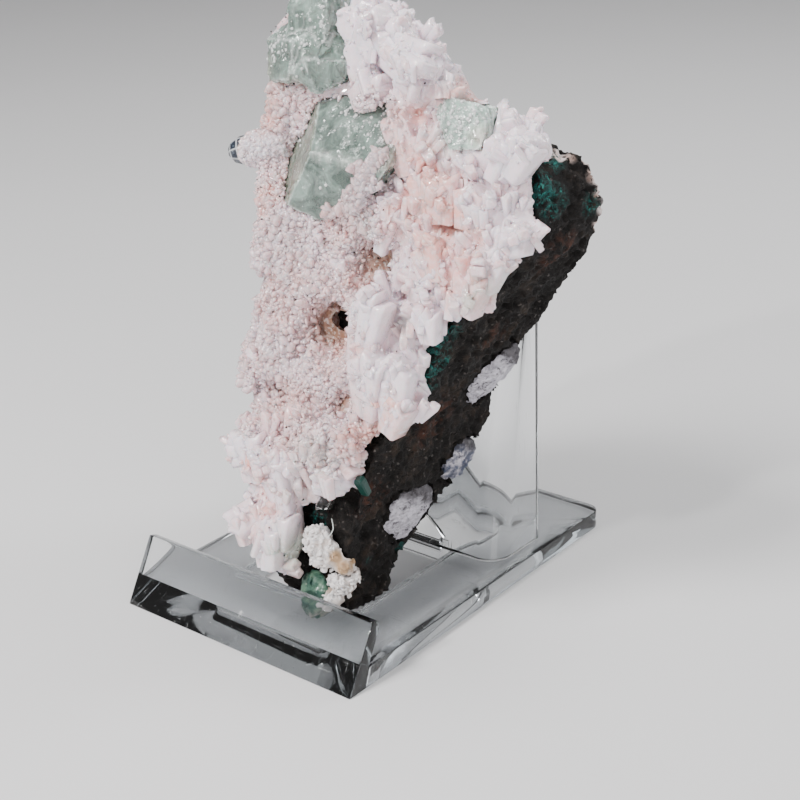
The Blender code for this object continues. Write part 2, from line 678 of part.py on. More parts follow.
def make_rod(finish):
    """The clear rod that sticks out on the left: a square prism with a cut tip."""
    start, end = Vector(ROD_BASE), Vector(ROD_TIP)
    along = (end - start).normalized()
    side = along.cross(UP).normalized()
    up = side.cross(along).normalized()
    corners = []
    for reach, radius in ((0, 1.0), (0.78, 1.0), (0.93, 0.72), (1.0, 0.34)):
        spot = start.lerp(end, reach)
        for i in range(8):
            angle = math.radians(22.5 + 45 * i)
            corners.append(spot + (side * math.cos(angle) + up * math.sin(angle))
                           * ROD_RADIUS * radius)
    return hull(corners, "clear_rod_crystal", finish)


def make_upper_crystals(finish):
    """The upper apophyllites, grown into each other."""
    group = None
    for corners in UPPER_CRYSTALS:
        block = hull(corners, "apophyllite_upper", finish)
        group = boolean(group, block, "UNION") if group else block
    return tidy(group)


def centre_on_origin(items):
    """Move the whole model so that its footprint's middle is the origin."""
    points = [vertex.co for item in items for vertex in item.data.vertices]
    low = Vector([min(point[i] for point in points) for i in range(3)])
    high = Vector([max(point[i] for point in points) for i in range(3)])
    shift = Vector((-(low.x + high.x) / 2, -(low.y + high.y) / 2, -low.z))
    for item in items:
        item.data.transform(Matrix.Translation(shift))
        item.data.update()


def main():
    clear_scene()
    clear = material("clear_plastic", (0.92, 0.95, 0.97), 0.04, 1.0, 1.49)
    rock = material("basalt_rock", (0.030, 0.024, 0.020), 0.85)
    bladed = material("stilbite", (0.80, 0.66, 0.60), 0.35)
    green = material("apophyllite", (0.42, 0.60, 0.50), 0.12, 0.5, 1.54)
    glassy = material("clear_crystal", (0.80, 0.80, 0.80), 0.08, 0.7, 1.54)
    pale = material("pale_fill", (0.66, 0.64, 0.72), 0.5)
    white = material("white_knob", (0.82, 0.76, 0.72), 0.4)
    mossy = material("green_knob", (0.30, 0.48, 0.42), 0.25)

    base = make_base(clear)
    support = make_support(clear)
    basalt = make_basalt(rock)
    rock_shell = swollen(basalt, GAP * 1.3)
    fills = make_fills(basalt, pale)
    knobs = make_knobs(rock_shell, {"knob_white": white, "knob_green": mossy,
                                "knob_bladed": white})
    upper = make_upper_crystals(green)
    middle = hull(MIDDLE_CRYSTAL, "apophyllite_middle", green)
    side = hull(SIDE_CRYSTAL, "apophyllite_side", green)
    rod = make_rod(glassy)
    crystals = [upper, middle, side, rod]
    for crystal in crystals:
        boolean(crystal, rock_shell, "DIFFERENCE", keep_tool=True)
        tidy(crystal)
    crust = make_crust(rock_shell, [middle, side, rod], knobs, bladed)
    remove(rock_shell)
    tidy(basalt)
    centre_on_origin([base, support, basalt, crust] + fills + knobs + crystals)


main()
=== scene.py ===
"""Looks of the green apophyllite, stilbite and basalt specimen on its clear easel."""

import math

import bmesh
import bpy
import numpy as np
from bpy.props import FloatProperty, FloatVectorProperty, IntProperty, PointerProperty
from mathutils import Matrix, Vector
from mathutils.bvhtree import BVHTree


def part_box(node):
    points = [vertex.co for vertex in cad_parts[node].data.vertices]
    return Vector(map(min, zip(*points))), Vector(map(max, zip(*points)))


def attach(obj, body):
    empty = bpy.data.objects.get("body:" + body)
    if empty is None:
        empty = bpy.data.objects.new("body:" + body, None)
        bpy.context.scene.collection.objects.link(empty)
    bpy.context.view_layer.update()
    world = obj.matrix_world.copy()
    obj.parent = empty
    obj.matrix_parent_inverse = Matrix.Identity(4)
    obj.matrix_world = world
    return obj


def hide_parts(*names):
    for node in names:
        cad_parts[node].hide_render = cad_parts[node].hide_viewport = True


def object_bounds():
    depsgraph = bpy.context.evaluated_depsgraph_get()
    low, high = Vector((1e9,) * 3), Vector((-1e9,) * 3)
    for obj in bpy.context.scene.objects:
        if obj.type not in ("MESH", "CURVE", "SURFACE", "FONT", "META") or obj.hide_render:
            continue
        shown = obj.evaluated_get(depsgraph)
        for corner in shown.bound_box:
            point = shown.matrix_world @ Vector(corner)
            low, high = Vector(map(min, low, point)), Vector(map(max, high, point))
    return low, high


bl_info = {
    "name": "Apophyllite specimen",
    "version": (1, 0, 0),
    "blender": (4, 5, 0),
    "location": "3D View > Sidebar > Specimen",
    "description": "Dresses the crystals, the rock and the clear easel",
    "category": "Object",
}

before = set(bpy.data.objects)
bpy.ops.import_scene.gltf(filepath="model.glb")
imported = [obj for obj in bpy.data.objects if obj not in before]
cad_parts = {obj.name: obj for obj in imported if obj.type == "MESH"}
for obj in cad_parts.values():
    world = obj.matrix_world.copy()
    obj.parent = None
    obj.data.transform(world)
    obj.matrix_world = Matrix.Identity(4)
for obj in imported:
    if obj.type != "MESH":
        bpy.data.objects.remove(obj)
CAD_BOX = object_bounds()

MM = 0.001
# Points of a solid closer than this, in metres, are one point
WELD = 2e-6
# How strongly the clear crystals and the stilbite bend light
CRYSTAL_INDEX = 1.54
STILBITE_INDEX = 1.5
# Positions below are in millimetres from the easel's front left bottom corner
CORNER = Vector(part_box("stand_base")[0])
CORNER_MM = np.array(CORNER) / MM

# The plane that the crystals' front lies in: y = start + lean z + turn x
FACE_START = 2.0
FACE_LEAN = 0.28
FACE_TURN = 0.11
FACE_OUT = Vector((FACE_TURN, -1, FACE_LEAN)).normalized()
UP = Vector((0, 0, 1))
FACE_UP = (UP - UP.dot(FACE_OUT) * FACE_OUT).normalized()
FACE_RIGHT = FACE_UP.cross(FACE_OUT).normalized()

# The photograph's camera: place (mm), turn, tilt down and roll (degrees), lens (mm)
CAMERA_PLACE = (329.4, -261.5, 235.2)
CAMERA_TURN = 39.88
CAMERA_TILT = 22.61
CAMERA_ROLL = -2.28
CAMERA_LENS = 69.44

# Stilbite blades: foot x, foot z, lean in the face from upright (degrees, to the right),
# length, width, thickness, tilt out of the face (degrees), tone (0 white, 1 pink, 2 cream)
BLADES = (
    (55, 160, 5, 15, 10, 7, 10, 0), (60, 160, 31, 17, 10, 8, 20, 0),
    (66, 163, 59, 12, 8, 7, 20, 0), (64, 166, 107, 26, 10, 8, 22, 0),
    (57, 157, 34, 11, 9, 8, 16, 2), (86, 152, 23, 8, 8, 7, 14, 1),
    (73, 151, 68, 12, 7, 8, 22, 1), (62, 151, 57, 11, 9, 8, 22, 2),
    (79, 136, -10, 15, 8, 8, 16, 1), (85, 137, 0, 11, 6, 7, 16, 1),
    (91, 125, -3, 12, 8, 8, 18, 1), (85, 126, -4, 10, 5, 7, 16, 1),
    (91, 136, -7, 9, 6, 6, 12, 0), (97, 136, 12, 8, 5, 5, 12, 0),
    (103, 137, 17, 11, 7, 7, 14, 0), (109, 138, 28, 11, 8, 8, 14, 0),
    (73, 115, 22, 15, 4.2, 3.6, 20, 0), (72, 86, 15, 21, 10, 8, 16, 0),
    (76, 73, 9, 17, 9, 8, 18, 0), (84, 71, 3, 19, 8, 7, 12, 0),
    (84, 69, 28, 10, 7, 7, 14, 1), (92, 94, -7, 8, 6, 6, 16, 0),
    (106, 110, 24, 11, 7, 7, 16, 0), (112, 119, 18, 8, 5, 6, 16, 0),
    (102, 103, 13, 11, 7, 7, 14, 1), (42, 55, -100, 10, 10, 7, 14, 0),
    (41, 48, -4, 15, 7, 7, 14, 0), (43, 38, -140, 10, 8, 7, 14, 0),
    (54, 50, 14, 22, 5, 6, 18, 2), (59, 54, 26, 15, 6, 6, 20, 2),
    (52, 42, -18, 18, 7, 7, 18, 0), (64, 50, 72, 9, 7, 7, 18, 0),
    (73, 59, -23, 8, 6, 6, 18, 1), (50, 25, -5, 13, 9, 8, 10, 0),
    (53, 31, 6, 10, 7, 7, 12, 0), (111, 119, 62, 8, 6, 5, 16, 0), (108, 113, 40, 7, 5, 5, 14, 1),
    (98, 124, 10, 11, 7, 6, 16, 1), (90, 110, -12, 10, 7, 6, 18, 1),
)
# Peach and rosy places on the crust: x, z, radius, strength
PEACH_SPOTS = (
    (88, 132, 8, 1.0), (92, 124, 8, 1.0), (81, 124, 6, 0.8), (84, 140, 7, 0.7), (80, 150, 5, 0.5),
    (100, 118, 8, 0.6), (60, 120, 7, 0.3), (29, 146, 6, 0.9), (34, 124, 5, 0.7), (34, 158, 5, 0.5),
    (41.3, 53, 2.6, 1.0), (78, 66, 7, 0.8), (86, 62, 6, 0.7), (74, 92, 5, 0.5), (62, 86, 6, 0.6),
    (52, 68, 8, 0.4), (90, 154, 5, 0.6), (44, 98, 8, 0.3), (104, 108, 5, 0.5), (66, 104, 6, 0.4),
    (48, 44, 6, 0.6), (84, 76, 5, 0.6), (46, 36, 5, 0.5), (97, 108, 5, 0.7),
)
# Bright white, slightly lavender places on the crust: x, z, radius, strength
WHITE_SPOTS = (
    (62, 172, 12, 1.0), (72, 166, 11, 1.0), (85, 163, 8, 0.9), (98, 146, 8, 0.6), (108, 145, 8, 0.9),
    (76, 99, 7, 0.9), (84, 84, 9, 0.9), (42, 56, 6, 1.0), (42, 38, 6, 0.9), (50, 26, 7, 1.0),
    (68, 50, 7, 0.9), (104, 126, 9, 0.5), (94, 100, 6, 0.5), (88, 70, 6, 0.6), (79, 125, 4, 0.8),
)
# Grey-green pearly places on the crust: x, z, radius, strength
OLIVE_SPOTS = (
    (56.5, 29, 5.5, 1.0), (64.7, 58.4, 7, 0.45), (106.2, 107.5, 3.5, 0.8), (46, 27, 3, 0.5),
    (92, 146, 5, 0.5), (58, 46, 5, 0.35), (84, 96, 4, 0.5), (70, 120, 4, 0.3),
)
# Deep hollows of the crust, darkened with painted shade: x, z, radius, strength
HOLLOWS = (
    (57.0, 90, 8.5, 1), (69.0, 109.5, 6.5, 1), (81.4, 104.7, 2.6, 1), (78.4, 98.5, 2.4, 1),
    (45, 71, 4.5, 1), (66, 70, 4, 1), (93, 124, 3, 1),
)
# Celadonite patches on the basalt: centre and radius
TEAL_SPOTS = (
    ((113, 58, 132), 5.5), ((113, 63, 127), 4.5), ((114, 78, 124), 3.5), ((110, 68, 139), 4),
    ((112, 54, 140), 4), ((92, 41, 94), 5), ((89.5, 39, 86), 6.5), ((88, 37, 79), 4.5),
    ((105, 46, 116), 3.5), ((112, 52, 121), 3), ((71, 31.3, 23.4), 1.2), ((70.5, 46.4, 20.8), 1.5),
    ((58.2, 23.6, 35.7), 3.0), ((100, 44, 104), 2.5),
)
# Rusty zones on the basalt: centre and radius
RUST_SPOTS = (
    ((82, 50, 62), 8), ((76, 30, 44), 6), ((108, 70, 112), 7), ((96, 62, 84), 6),
    ((66, 24, 20), 6),
)
# Pale rind that runs over the rock's top and down its far rim: centre and radius
RIND_SPOTS = (
    ((107.5, 69, 139), 1.5), ((109, 72, 137.5), 1.7), ((110.4, 74, 136), 1.7),
    ((112.2, 77, 133.5), 1.7), ((113.4, 79, 131), 2.6), ((113.6, 81.5, 127), 2.8),
    ((113.4, 84, 122), 2.8), ((113, 86, 116.5), 2.4),
)
# Tan places on the white knobs: centre and radius
TAN_SPOTS = (
    ((71, 17.5, 30.2), 2.6), ((72.6, 18, 27), 3.0), ((67, 17.8, 19), 1.5), ((75, 22, 28), 3),
)
# Pale broken marks on the middle crystal's front: centre and radius
PALE_MARKS = (
    ((54.6, 37.2, 138.0), 2.4), ((58.6, 37.5, 137.8), 2.0), ((62.6, 37.9, 137.6), 2.6),
    ((66.0, 37.9, 136.6), 2.8), ((68.9, 37.7, 135.4), 2.0), ((70.0, 37.6, 131.6), 1.6),
)
# Where glassy stilbite has grown over the middle crystal: centre and radius
OVERGROWN = (
    ((70.5, 37.6, 134.0), 3.0), ((71.5, 38.5, 130.0), 4.0), ((68.5, 37.3, 127.0), 3.6),
    ((65.7, 37.3, 124.0), 3.4), ((60.0, 37.0, 121.0), 3.0), ((73.5, 41.0, 138.0), 2.6),
)
# Green crystals: solid, piece, broad and fine relief (mm), milkiness, tone, streak turn,
# warm stained zones, direction of a face darkened with painted shade, zones dotted with frost
GREEN_CRYSTALS = (
    ("apophyllite_upper", "green_crystal_upper", 0.85, 0.30, 0.42, 1.0, (0, 0, 0),
     (((30, 43, 157), 5), ((44, 40, 153), 4)), (0, 0, 0),
     (((52, 40, 170), 6), ((36, 42, 166), 6))),
    ("apophyllite_middle", "green_crystal_middle", 0.16, 0.10, 0.38, 1.0, (0.2, 0.25, 0.1),
     (((77, 44, 146), 5), ((77, 40, 139), 4)), (-0.56, -0.74, 0.37),
     (((70, 47, 148), 9), ((72, 44, 140), 6), ((60, 46, 148), 5))),
    ("apophyllite_side", "green_crystal_side", 0.35, 0.22, 0.75, 1.35, (0, 0.2, 0),
     (((100, 48, 146), 3),), (0, 0, 0), (((92, 48, 150), 7),)),
)


def place(x, y, z):
    """A point in metres from millimetres off the easel's corner."""
    return Vector((x, y, z)) * MM + CORNER


def face_y(x, z):
    """How far back the crystals' front lies, in millimetres."""
    return FACE_START + FACE_LEAN * z + FACE_TURN * x


# Settings that a user would change

def colour_setting(name, default, description):
    return FloatVectorProperty(name=name, description=description, subtype="COLOR",
                               default=default, min=0, max=1)


def number_setting(name, default, low, high, description):
    return FloatProperty(name=name, description=description, default=default, min=low, max=high)


def length_setting(name, default, low, high, description):
    return FloatProperty(name=name, description=description, default=default, min=low, max=high,
                         unit="LENGTH", subtype="DISTANCE")


def count_setting(name, default, most, description):
    return IntProperty(name=name, description=description, default=default, min=0, max=most)


class StageSettings(bpy.types.PropertyGroup):
    """Floor, lights and camera."""

    floor_colour: colour_setting("Floor colour", (0.74, 0.74, 0.75), "Colour of the pale floor")
    key_power: FloatProperty(
        name="Key light", description="Power of the large light above on the left",
        default=13.0, min=0, unit="POWER")
    lens: number_setting(
        "Lens", CAMERA_LENS, 10, 300, "Focal length of the camera in millimetres")


class EaselSettings(bpy.types.PropertyGroup):
    """Clear moulded easel."""

    tint: colour_setting("Tint", (0.965, 0.975, 0.985), "Colour of the clear plastic")
    edge_round: length_setting(
        "Edge rounding", 0.00035, 0.0001, 0.001, "Width of the rounding on moulded edges")
    index: number_setting(
        "Refractive index", 1.49, 1.3, 1.7, "How strongly the plastic bends light")


class BasaltSettings(bpy.types.PropertyGroup):
    """Dark vesicular rock."""

    rock: colour_setting("Rock colour", (0.015, 0.0122, 0.0112), "Fresh broken basalt")
    teal: colour_setting("Celadonite colour", (0.012, 0.105, 0.095), "Blue-green mineral film")
    grain: length_setting(
        "Grain", 0.00078, 0.0005, 0.004, "Spacing of the rock's surface points")


class CrustSettings(bpy.types.PropertyGroup):
    """Stilbite blades and sugary crystals."""

    cream: colour_setting("Cream colour", (0.88, 0.62, 0.635), "Body colour of the fine crystals")
    white: colour_setting("White colour", (0.91, 0.79, 0.86), "Colour of the smooth blades")
    peach: colour_setting("Peach colour", (0.92, 0.45, 0.37), "Rosy tint in places")
    grain: length_setting(
        "Grain", 0.00082, 0.0005, 0.004, "Spacing of the crust's surface points")
    sugar_count: count_setting(
        "Fine crystals", 13500, 30000, "How many small crystals are strewn on the crust")
    grain_count: count_setting(
        "Glassy grains", 1700, 6000, "How many larger glassy crystals stand in the sugar")
    plate_count: count_setting(
        "Small sheaves", 380, 3000, "How many small sheaves of laths stand on the crust")
    speck_count: count_setting(
        "Dark specks", 650, 3000, "How many tiny dark crystals lie on the crust")


class ApophylliteSettings(bpy.types.PropertyGroup):
    """Green apophyllite crystals."""

    green: colour_setting("Green colour", (0.43, 0.56, 0.50), "Body colour of the crystals")
    index: number_setting(
        "Refractive index", CRYSTAL_INDEX, 1.3, 1.8, "How strongly the crystals bend light")
    frost_count: count_setting(
        "Frost grains", 170, 4000, "How many tiny crystals sit on each green crystal")


class MineralSettings(bpy.types.PropertyGroup):
    """Fills in the rock and knobs at its foot."""

    pale: colour_setting(
        "Pale fill colour", (0.70, 0.67, 0.75), "Fibrous filling of the old gas bubbles")
    knob: colour_setting("Knob colour", (0.88, 0.84, 0.83), "White knobs at the rock's foot")


# Shader building

class Socket:
    """A socket of a material that Python's own arithmetic works on."""

    def __init__(self, recipe, link):
        self.recipe = recipe
        self.link = link

    def math(self, operation, *values, clamp=False):
        return self.recipe.node(
            "ShaderNodeMath", {"operation": operation, "use_clamp": clamp}, values)

    def __add__(self, other):
        return self.math("ADD", self, other)

    def __radd__(self, other):
        return self.math("ADD", other, self)

    def __sub__(self, other):
        return self.math("SUBTRACT", self, other)

    def __rsub__(self, other):
        return self.math("SUBTRACT", other, self)

    def __mul__(self, other):
        return self.math("MULTIPLY", self, other)

    def __rmul__(self, other):
        return self.math("MULTIPLY", other, self)

    def clamped(self):
        return self.math("ADD", self, 0.0, clamp=True)

    def step(self, low, high):
        """0 below low, 1 above high, and straight between."""
        return self.math("MULTIPLY", self - low, 1 / (high - low), clamp=True)


class Recipe:
    """One material, written as expressions on its sockets."""

    def __init__(self, name):
        self.material = bpy.data.materials.new(name)
        self.material.use_nodes = True
        self.tree = self.material.node_tree
        self.tree.nodes.clear()
        self.output = self.tree.nodes.new("ShaderNodeOutputMaterial")

    def node(self, kind, settings=None, inputs=(), output=0):
        """Add a node: its type, its settings, and the values or links of its sockets."""
        made = self.tree.nodes.new(kind)
        for key, value in (settings or {}).items():
            setattr(made, key, value)
        pairs = inputs.items() if isinstance(inputs, dict) else enumerate(inputs)
        for key, value in pairs:
            socket = made.inputs[key]
            if isinstance(value, Socket):
                self.tree.links.new(value.link, socket)
            elif socket.type == "RGBA":
                socket.default_value = (*value, 1)
            else:
                socket.default_value = value
        return Socket(self, made.outputs[output])

    def place(self, scale=(1, 1, 1), turn=(0, 0, 0)):
        """Position on the object in metres, stretched and turned."""
        coords = self.node("ShaderNodeTexCoord", output="Object")
        if scale == (1, 1, 1) and turn == (0, 0, 0):
            return coords
        return self.node("ShaderNodeMapping", {},
                         {"Vector": coords, "Scale": scale, "Rotation": turn})

    def along(self, axis):
        """Position along one axis in metres."""
        return self.node("ShaderNodeSeparateXYZ", {}, [self.place()], output=axis)

    def noise(self, size, detail=4.0, rough=0.55, distortion=0.0, where=None):
        """Cloudy noise from 0 to 1 with features of a size in metres."""
        return self.node("ShaderNodeTexNoise", {}, {
            "Vector": where or self.place(), "Scale": 1 / size, "Detail": detail,
            "Roughness": rough, "Distortion": distortion})

    def cells(self, size, output="Distance"):
        """Cell pattern with cells of a size in metres."""
        return self.node("ShaderNodeTexVoronoi", {}, {
            "Vector": self.place(), "Scale": 1 / size}, output=output)

    def sparks(self, size):
        """A random value for each cell of a size in metres."""
        return self.node("ShaderNodeSeparateColor", {}, [self.cells(size, "Color")])

    def mask(self, name):
        """A value that the mesh carries at each point."""
        return self.node("ShaderNodeAttribute", {"attribute_name": name}, output="Fac")

    def mix(self, factor, first, second):
        """Blend two colours."""
        return self.node("ShaderNodeMix", {"data_type": "RGBA"},
                         {0: factor, 6: first, 7: second}, output=2)

    def layers(self, colour, *coats):
        """Lay colours over a first one, each by its own share."""
        for share, coat in coats:
            colour = self.mix(share, colour, coat)
        return colour

    def bump(self, height, strength, distance, under=None):
        """Surface relief."""
        inputs = {"Strength": strength, "Distance": distance, "Height": height}
        if under is not None:
            inputs["Normal"] = under
        return self.node("ShaderNodeBump", {}, inputs, output="Normal")

    def surface(self, **values):
        """A Principled shader with named sockets."""
        return self.node("ShaderNodeBsdfPrincipled", {},
                         {key.replace("_", " "): value for key, value in values.items()})

    def absorption(self, colour, density):
        """Colour that deepens with the light's way through a clear piece."""
        return self.node("ShaderNodeVolumeAbsorption", {}, {"Color": colour, "Density": density})

    def blend(self, factor, first, second):
        """Mix two shaders."""
        return self.node("ShaderNodeMixShader", {}, [factor, first, second])

    def finish(self, surface, volume=None):
        self.tree.links.new(surface.link, self.output.inputs["Surface"])
        if volume is not None:
            self.tree.links.new(volume.link, self.output.inputs["Volume"])
        return self.material


# Mesh building

def linked(name, mesh, material=None, smooth=False):
    """An object in the scene for a mesh."""
    made = bpy.data.objects.new(name, mesh)
    bpy.context.scene.collection.objects.link(made)
    if material:
        mesh.materials.append(material)
    if smooth:
        mesh.shade_smooth()
    return made


def new_object(name, points, faces, material, smooth=False):
    """An object from faces and points in millimetres off the easel's corner."""
    mesh = bpy.data.meshes.new(name)
    mesh.from_pydata([place(*p) for p in points], [], faces)
    mesh.validate()
    return linked(name, mesh, material, smooth)


def from_triangles(name, points, triangles, material):
    """An object from numpy arrays: points in millimetres off the corner, and triangles."""
    mesh = bpy.data.meshes.new(name)
    mesh.vertices.add(len(points))
    set_points(mesh, keep_inside((points + CORNER_MM) * MM))
    mesh.loops.add(len(triangles) * 3)
    mesh.loops.foreach_set("vertex_index", np.asarray(triangles, np.int32).ravel())
    mesh.polygons.add(len(triangles))
    mesh.polygons.foreach_set("loop_start", np.arange(0, len(triangles) * 3, 3, dtype=np.int32))
    mesh.update(calc_edges=True)
    return linked(name, mesh, material)


def claim(piece, slot, *nodes):
    """Tie a piece to the rock and hide the solids that it stands for."""
    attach(piece, "root")
    if nodes:
        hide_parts(*nodes)


def solid_copy(node, name):
    """A loose copy of a solid's shape with its points welded."""
    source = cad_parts[node]
    bm = bmesh.new()
    bm.from_mesh(source.data)
    bm.transform(source.matrix_world)
    bmesh.ops.remove_doubles(bm, verts=bm.verts, dist=WELD)
    mesh = bpy.data.meshes.new(name)
    bm.to_mesh(mesh)
    bm.free()
    return linked(name, mesh)


def even_copy(node, name, spacing):
    """A solid's copy covered with even points: the piece, its places in mm and its normals."""
    item = solid_copy(node, name)
    step = item.modifiers.new("grain", "REMESH")
    step.mode = "VOXEL"
    step.voxel_size = spacing
    step.adaptivity = 0.0
    depsgraph = bpy.context.evaluated_depsgraph_get()
    depsgraph.update()
    result = bpy.data.meshes.new_from_object(item.evaluated_get(depsgraph))
    item.modifiers.clear()
    rough = item.data
    item.data = result
    result.name = item.name
    bpy.data.meshes.remove(rough)
    return item, in_mm(points_of(result)), normals_of(result)


def pushed_out(piece, normals, height, crease=None):
    """Move each point along its normal by a height in mm, and keep bends over an angle sharp."""
    mesh = piece.data
    set_points(mesh, keep_inside(points_of(mesh) + normals * (height * MM)[:, None]))
    mesh.shade_smooth()
    if crease:
        mesh.set_sharp_from_angle(angle=math.radians(crease))


def points_of(mesh):
    """A mesh's points in metres."""
    points = np.empty(len(mesh.vertices) * 3, np.float32)
    mesh.vertices.foreach_get("co", points)
    return points.reshape(-1, 3).astype(np.float64)


def normals_of(mesh):
    """The outward direction at each point."""
    normals = np.empty(len(mesh.vertices) * 3, np.float32)
    mesh.vertex_normals.foreach_get("vector", normals)
    return normals.reshape(-1, 3).astype(np.float64)


def set_points(mesh, points):
    """Give a mesh its points in metres."""
    mesh.vertices.foreach_set("co", np.asarray(points, np.float32).ravel())
    mesh.update()


def in_mm(points):
    """Points in millimetres off the easel's corner."""
    return points / MM - CORNER_MM


def hashed(cell, salt):
    """Repeatable noise from 0 to 1 for whole-number cells."""
    value = (cell[..., 0] * 73856093) ^ (cell[..., 1] * 19349663) ^ (cell[..., 2] * 83492791)
    value = (value ^ (salt * 2654435761)) & 0x7FFFFFFF
    value = (value * 1103515245 + 12345) & 0x7FFFFFFF
    value = ((value >> 7) ^ value) * 69069 & 0x7FFFFFFF
    return (value & 0xFFFFF) / float(0xFFFFF)


def cloud(points, size, salt):
    """Smooth noise from -1 to 1 with features of a size in millimetres."""
    spots = points / size + 500.0
    low = np.floor(spots).astype(np.int64)
    part = spots - low
    part = part * part * (3 - 2 * part)
    total = np.zeros(len(points))
    for corner in range(8):
        offset = np.array([(corner >> axis) & 1 for axis in range(3)])
        weight = np.prod(np.where(offset, part, 1 - part), axis=1)
        total += weight * hashed(low + offset, salt)
    return total * 2 - 1


def clouds(points, size, octaves, salt):
    """Noise with ever finer and weaker octaves."""
    return sum(cloud(points, size / 2 ** k, salt + k) / 2 ** k for k in range(octaves))


def wander(points, size, salt):
    """A smooth shift in all three directions."""
    return np.stack([cloud(points, size, salt + k) for k in range(3)], axis=1)


def nearest_cell(points, size, salt):
    """The closest scattered cell of each point: offset, distance and the cell itself."""
    spots = points / size + 500.0
    low = np.floor(spots).astype(np.int64)
    best = np.full(len(points), 1e9)
    offset = np.zeros((len(points), 3))
    chosen = low.copy()
    for shift in np.ndindex(3, 3, 3):
        cell = low + np.array(shift) - 1
        seed = np.stack([hashed(cell, salt + k) for k in range(3)], axis=1)
        away = spots - (cell + seed)
        distance = (away ** 2).sum(axis=1)
        closer = distance < best
        best = np.where(closer, distance, best)
        offset[closer] = away[closer]
        chosen[closer] = cell[closer]
    return offset, best, chosen


def facets(points, size, salt, slope=1.6):
    """Crystal-like relief: each cell is a flat facet with its own height and slant."""
    offset, _, cell = nearest_cell(points, size, salt)
    slant = np.stack([hashed(cell, salt + 10 + k) for k in range(3)], axis=1) - 0.5
    return (hashed(cell, salt + 20) - 0.5) + slope * (offset * slant).sum(axis=1)


def lumps(points, size, salt):
    """Rounded clusters with creases between them, from 0 to 1."""
    _, distance, cell = nearest_cell(points, size, salt)
    return np.clip(1 - distance, 0, 1) * (0.55 + 0.45 * hashed(cell, salt + 30))


def along_face(points, stretch):
    """Places turned into the crystal face (right, out, up) and shortened along up."""
    axes = np.array([FACE_RIGHT, FACE_OUT, FACE_UP]).T
    return (points @ axes) * np.array([1.0, 1.0, 1.0 / stretch])


def near_spots(points, spots):
    """How strongly points lie in round zones: 1 in the middle, 0 outside."""
    total = np.zeros(len(points))
    for centre, radius in spots:
        away = np.linalg.norm(points - np.array(centre), axis=1) / radius
        total = np.maximum(total, np.clip(1.35 - away, 0, 1))
    return total


def ridges(points, size, salt):
    """Thin winding ridges, from 0 between them to 1 on their crests."""
    return np.clip(1 - 2.6 * np.abs(cloud(points, size, salt)), 0, 1)


def near_face_spots(points, spots):
    """The same for zones given by x and z on the crystal face, with a strength."""
    total = np.zeros(len(points))
    for x, z, radius, strength in spots:
        away = np.hypot(points[:, 0] - x, points[:, 2] - z) / radius
        total = np.maximum(total, strength * np.clip(1.4 - away, 0, 1))
    return total


def facing(normals):
    """How far each direction points out of the crystal face."""
    return normals @ np.array(FACE_OUT)


def carry(mesh, name, values):
    """Store a value at each point for the material."""
    layer = mesh.attributes.new(name, "FLOAT", "POINT")
    layer.data.foreach_set("value", np.asarray(values, np.float32))


def keep_inside(points):
    """Hold points inside the solids' own box."""
    return np.clip(points, np.array(CAD_BOX[0]), np.array(CAD_BOX[1]))


def turned_frame(normals, spins):
    """Two directions square to each normal, turned by an angle."""
    helper = np.where(np.abs(normals[:, 2:3]) < 0.9, [[0.0, 0.0, 1.0]], [[1.0, 0.0, 0.0]])
    side = np.cross(normals, helper)
    side /= np.linalg.norm(side, axis=1, keepdims=True)
    other = np.cross(normals, side)
    c, s = np.cos(spins)[:, None], np.sin(spins)[:, None]
    return side * c + other * s, other * c - side * s


def sampled(item, count, seed, keep):
    """Even random points on an object's faces: places in mm and outward directions."""
    mesh = item.data
    mesh.calc_loop_triangles()
    triangles = np.empty(len(mesh.loop_triangles) * 3, np.int32)
    mesh.loop_triangles.foreach_get("vertices", triangles)
    triangles = triangles.reshape(-1, 3)
    points = in_mm(points_of(mesh))
    a, b, c = points[triangles[:, 0]], points[triangles[:, 1]], points[triangles[:, 2]]
    cross = np.cross(b - a, c - a)
    area = np.linalg.norm(cross, axis=1)
    weight = area * keep((a + b + c) / 3, cross / np.maximum(area[:, None], 1e-12))
    random = np.random.default_rng(seed)
    chosen = random.choice(len(triangles), count, p=weight / weight.sum())
    u, v = random.random(count), random.random(count)
    flip = u + v > 1
    u[flip], v[flip] = 1 - u[flip], 1 - v[flip]
    spots = a[chosen] + (b - a)[chosen] * u[:, None] + (c - a)[chosen] * v[:, None]
    normals = cross[chosen] / area[chosen][:, None]
    return spots, normals, random


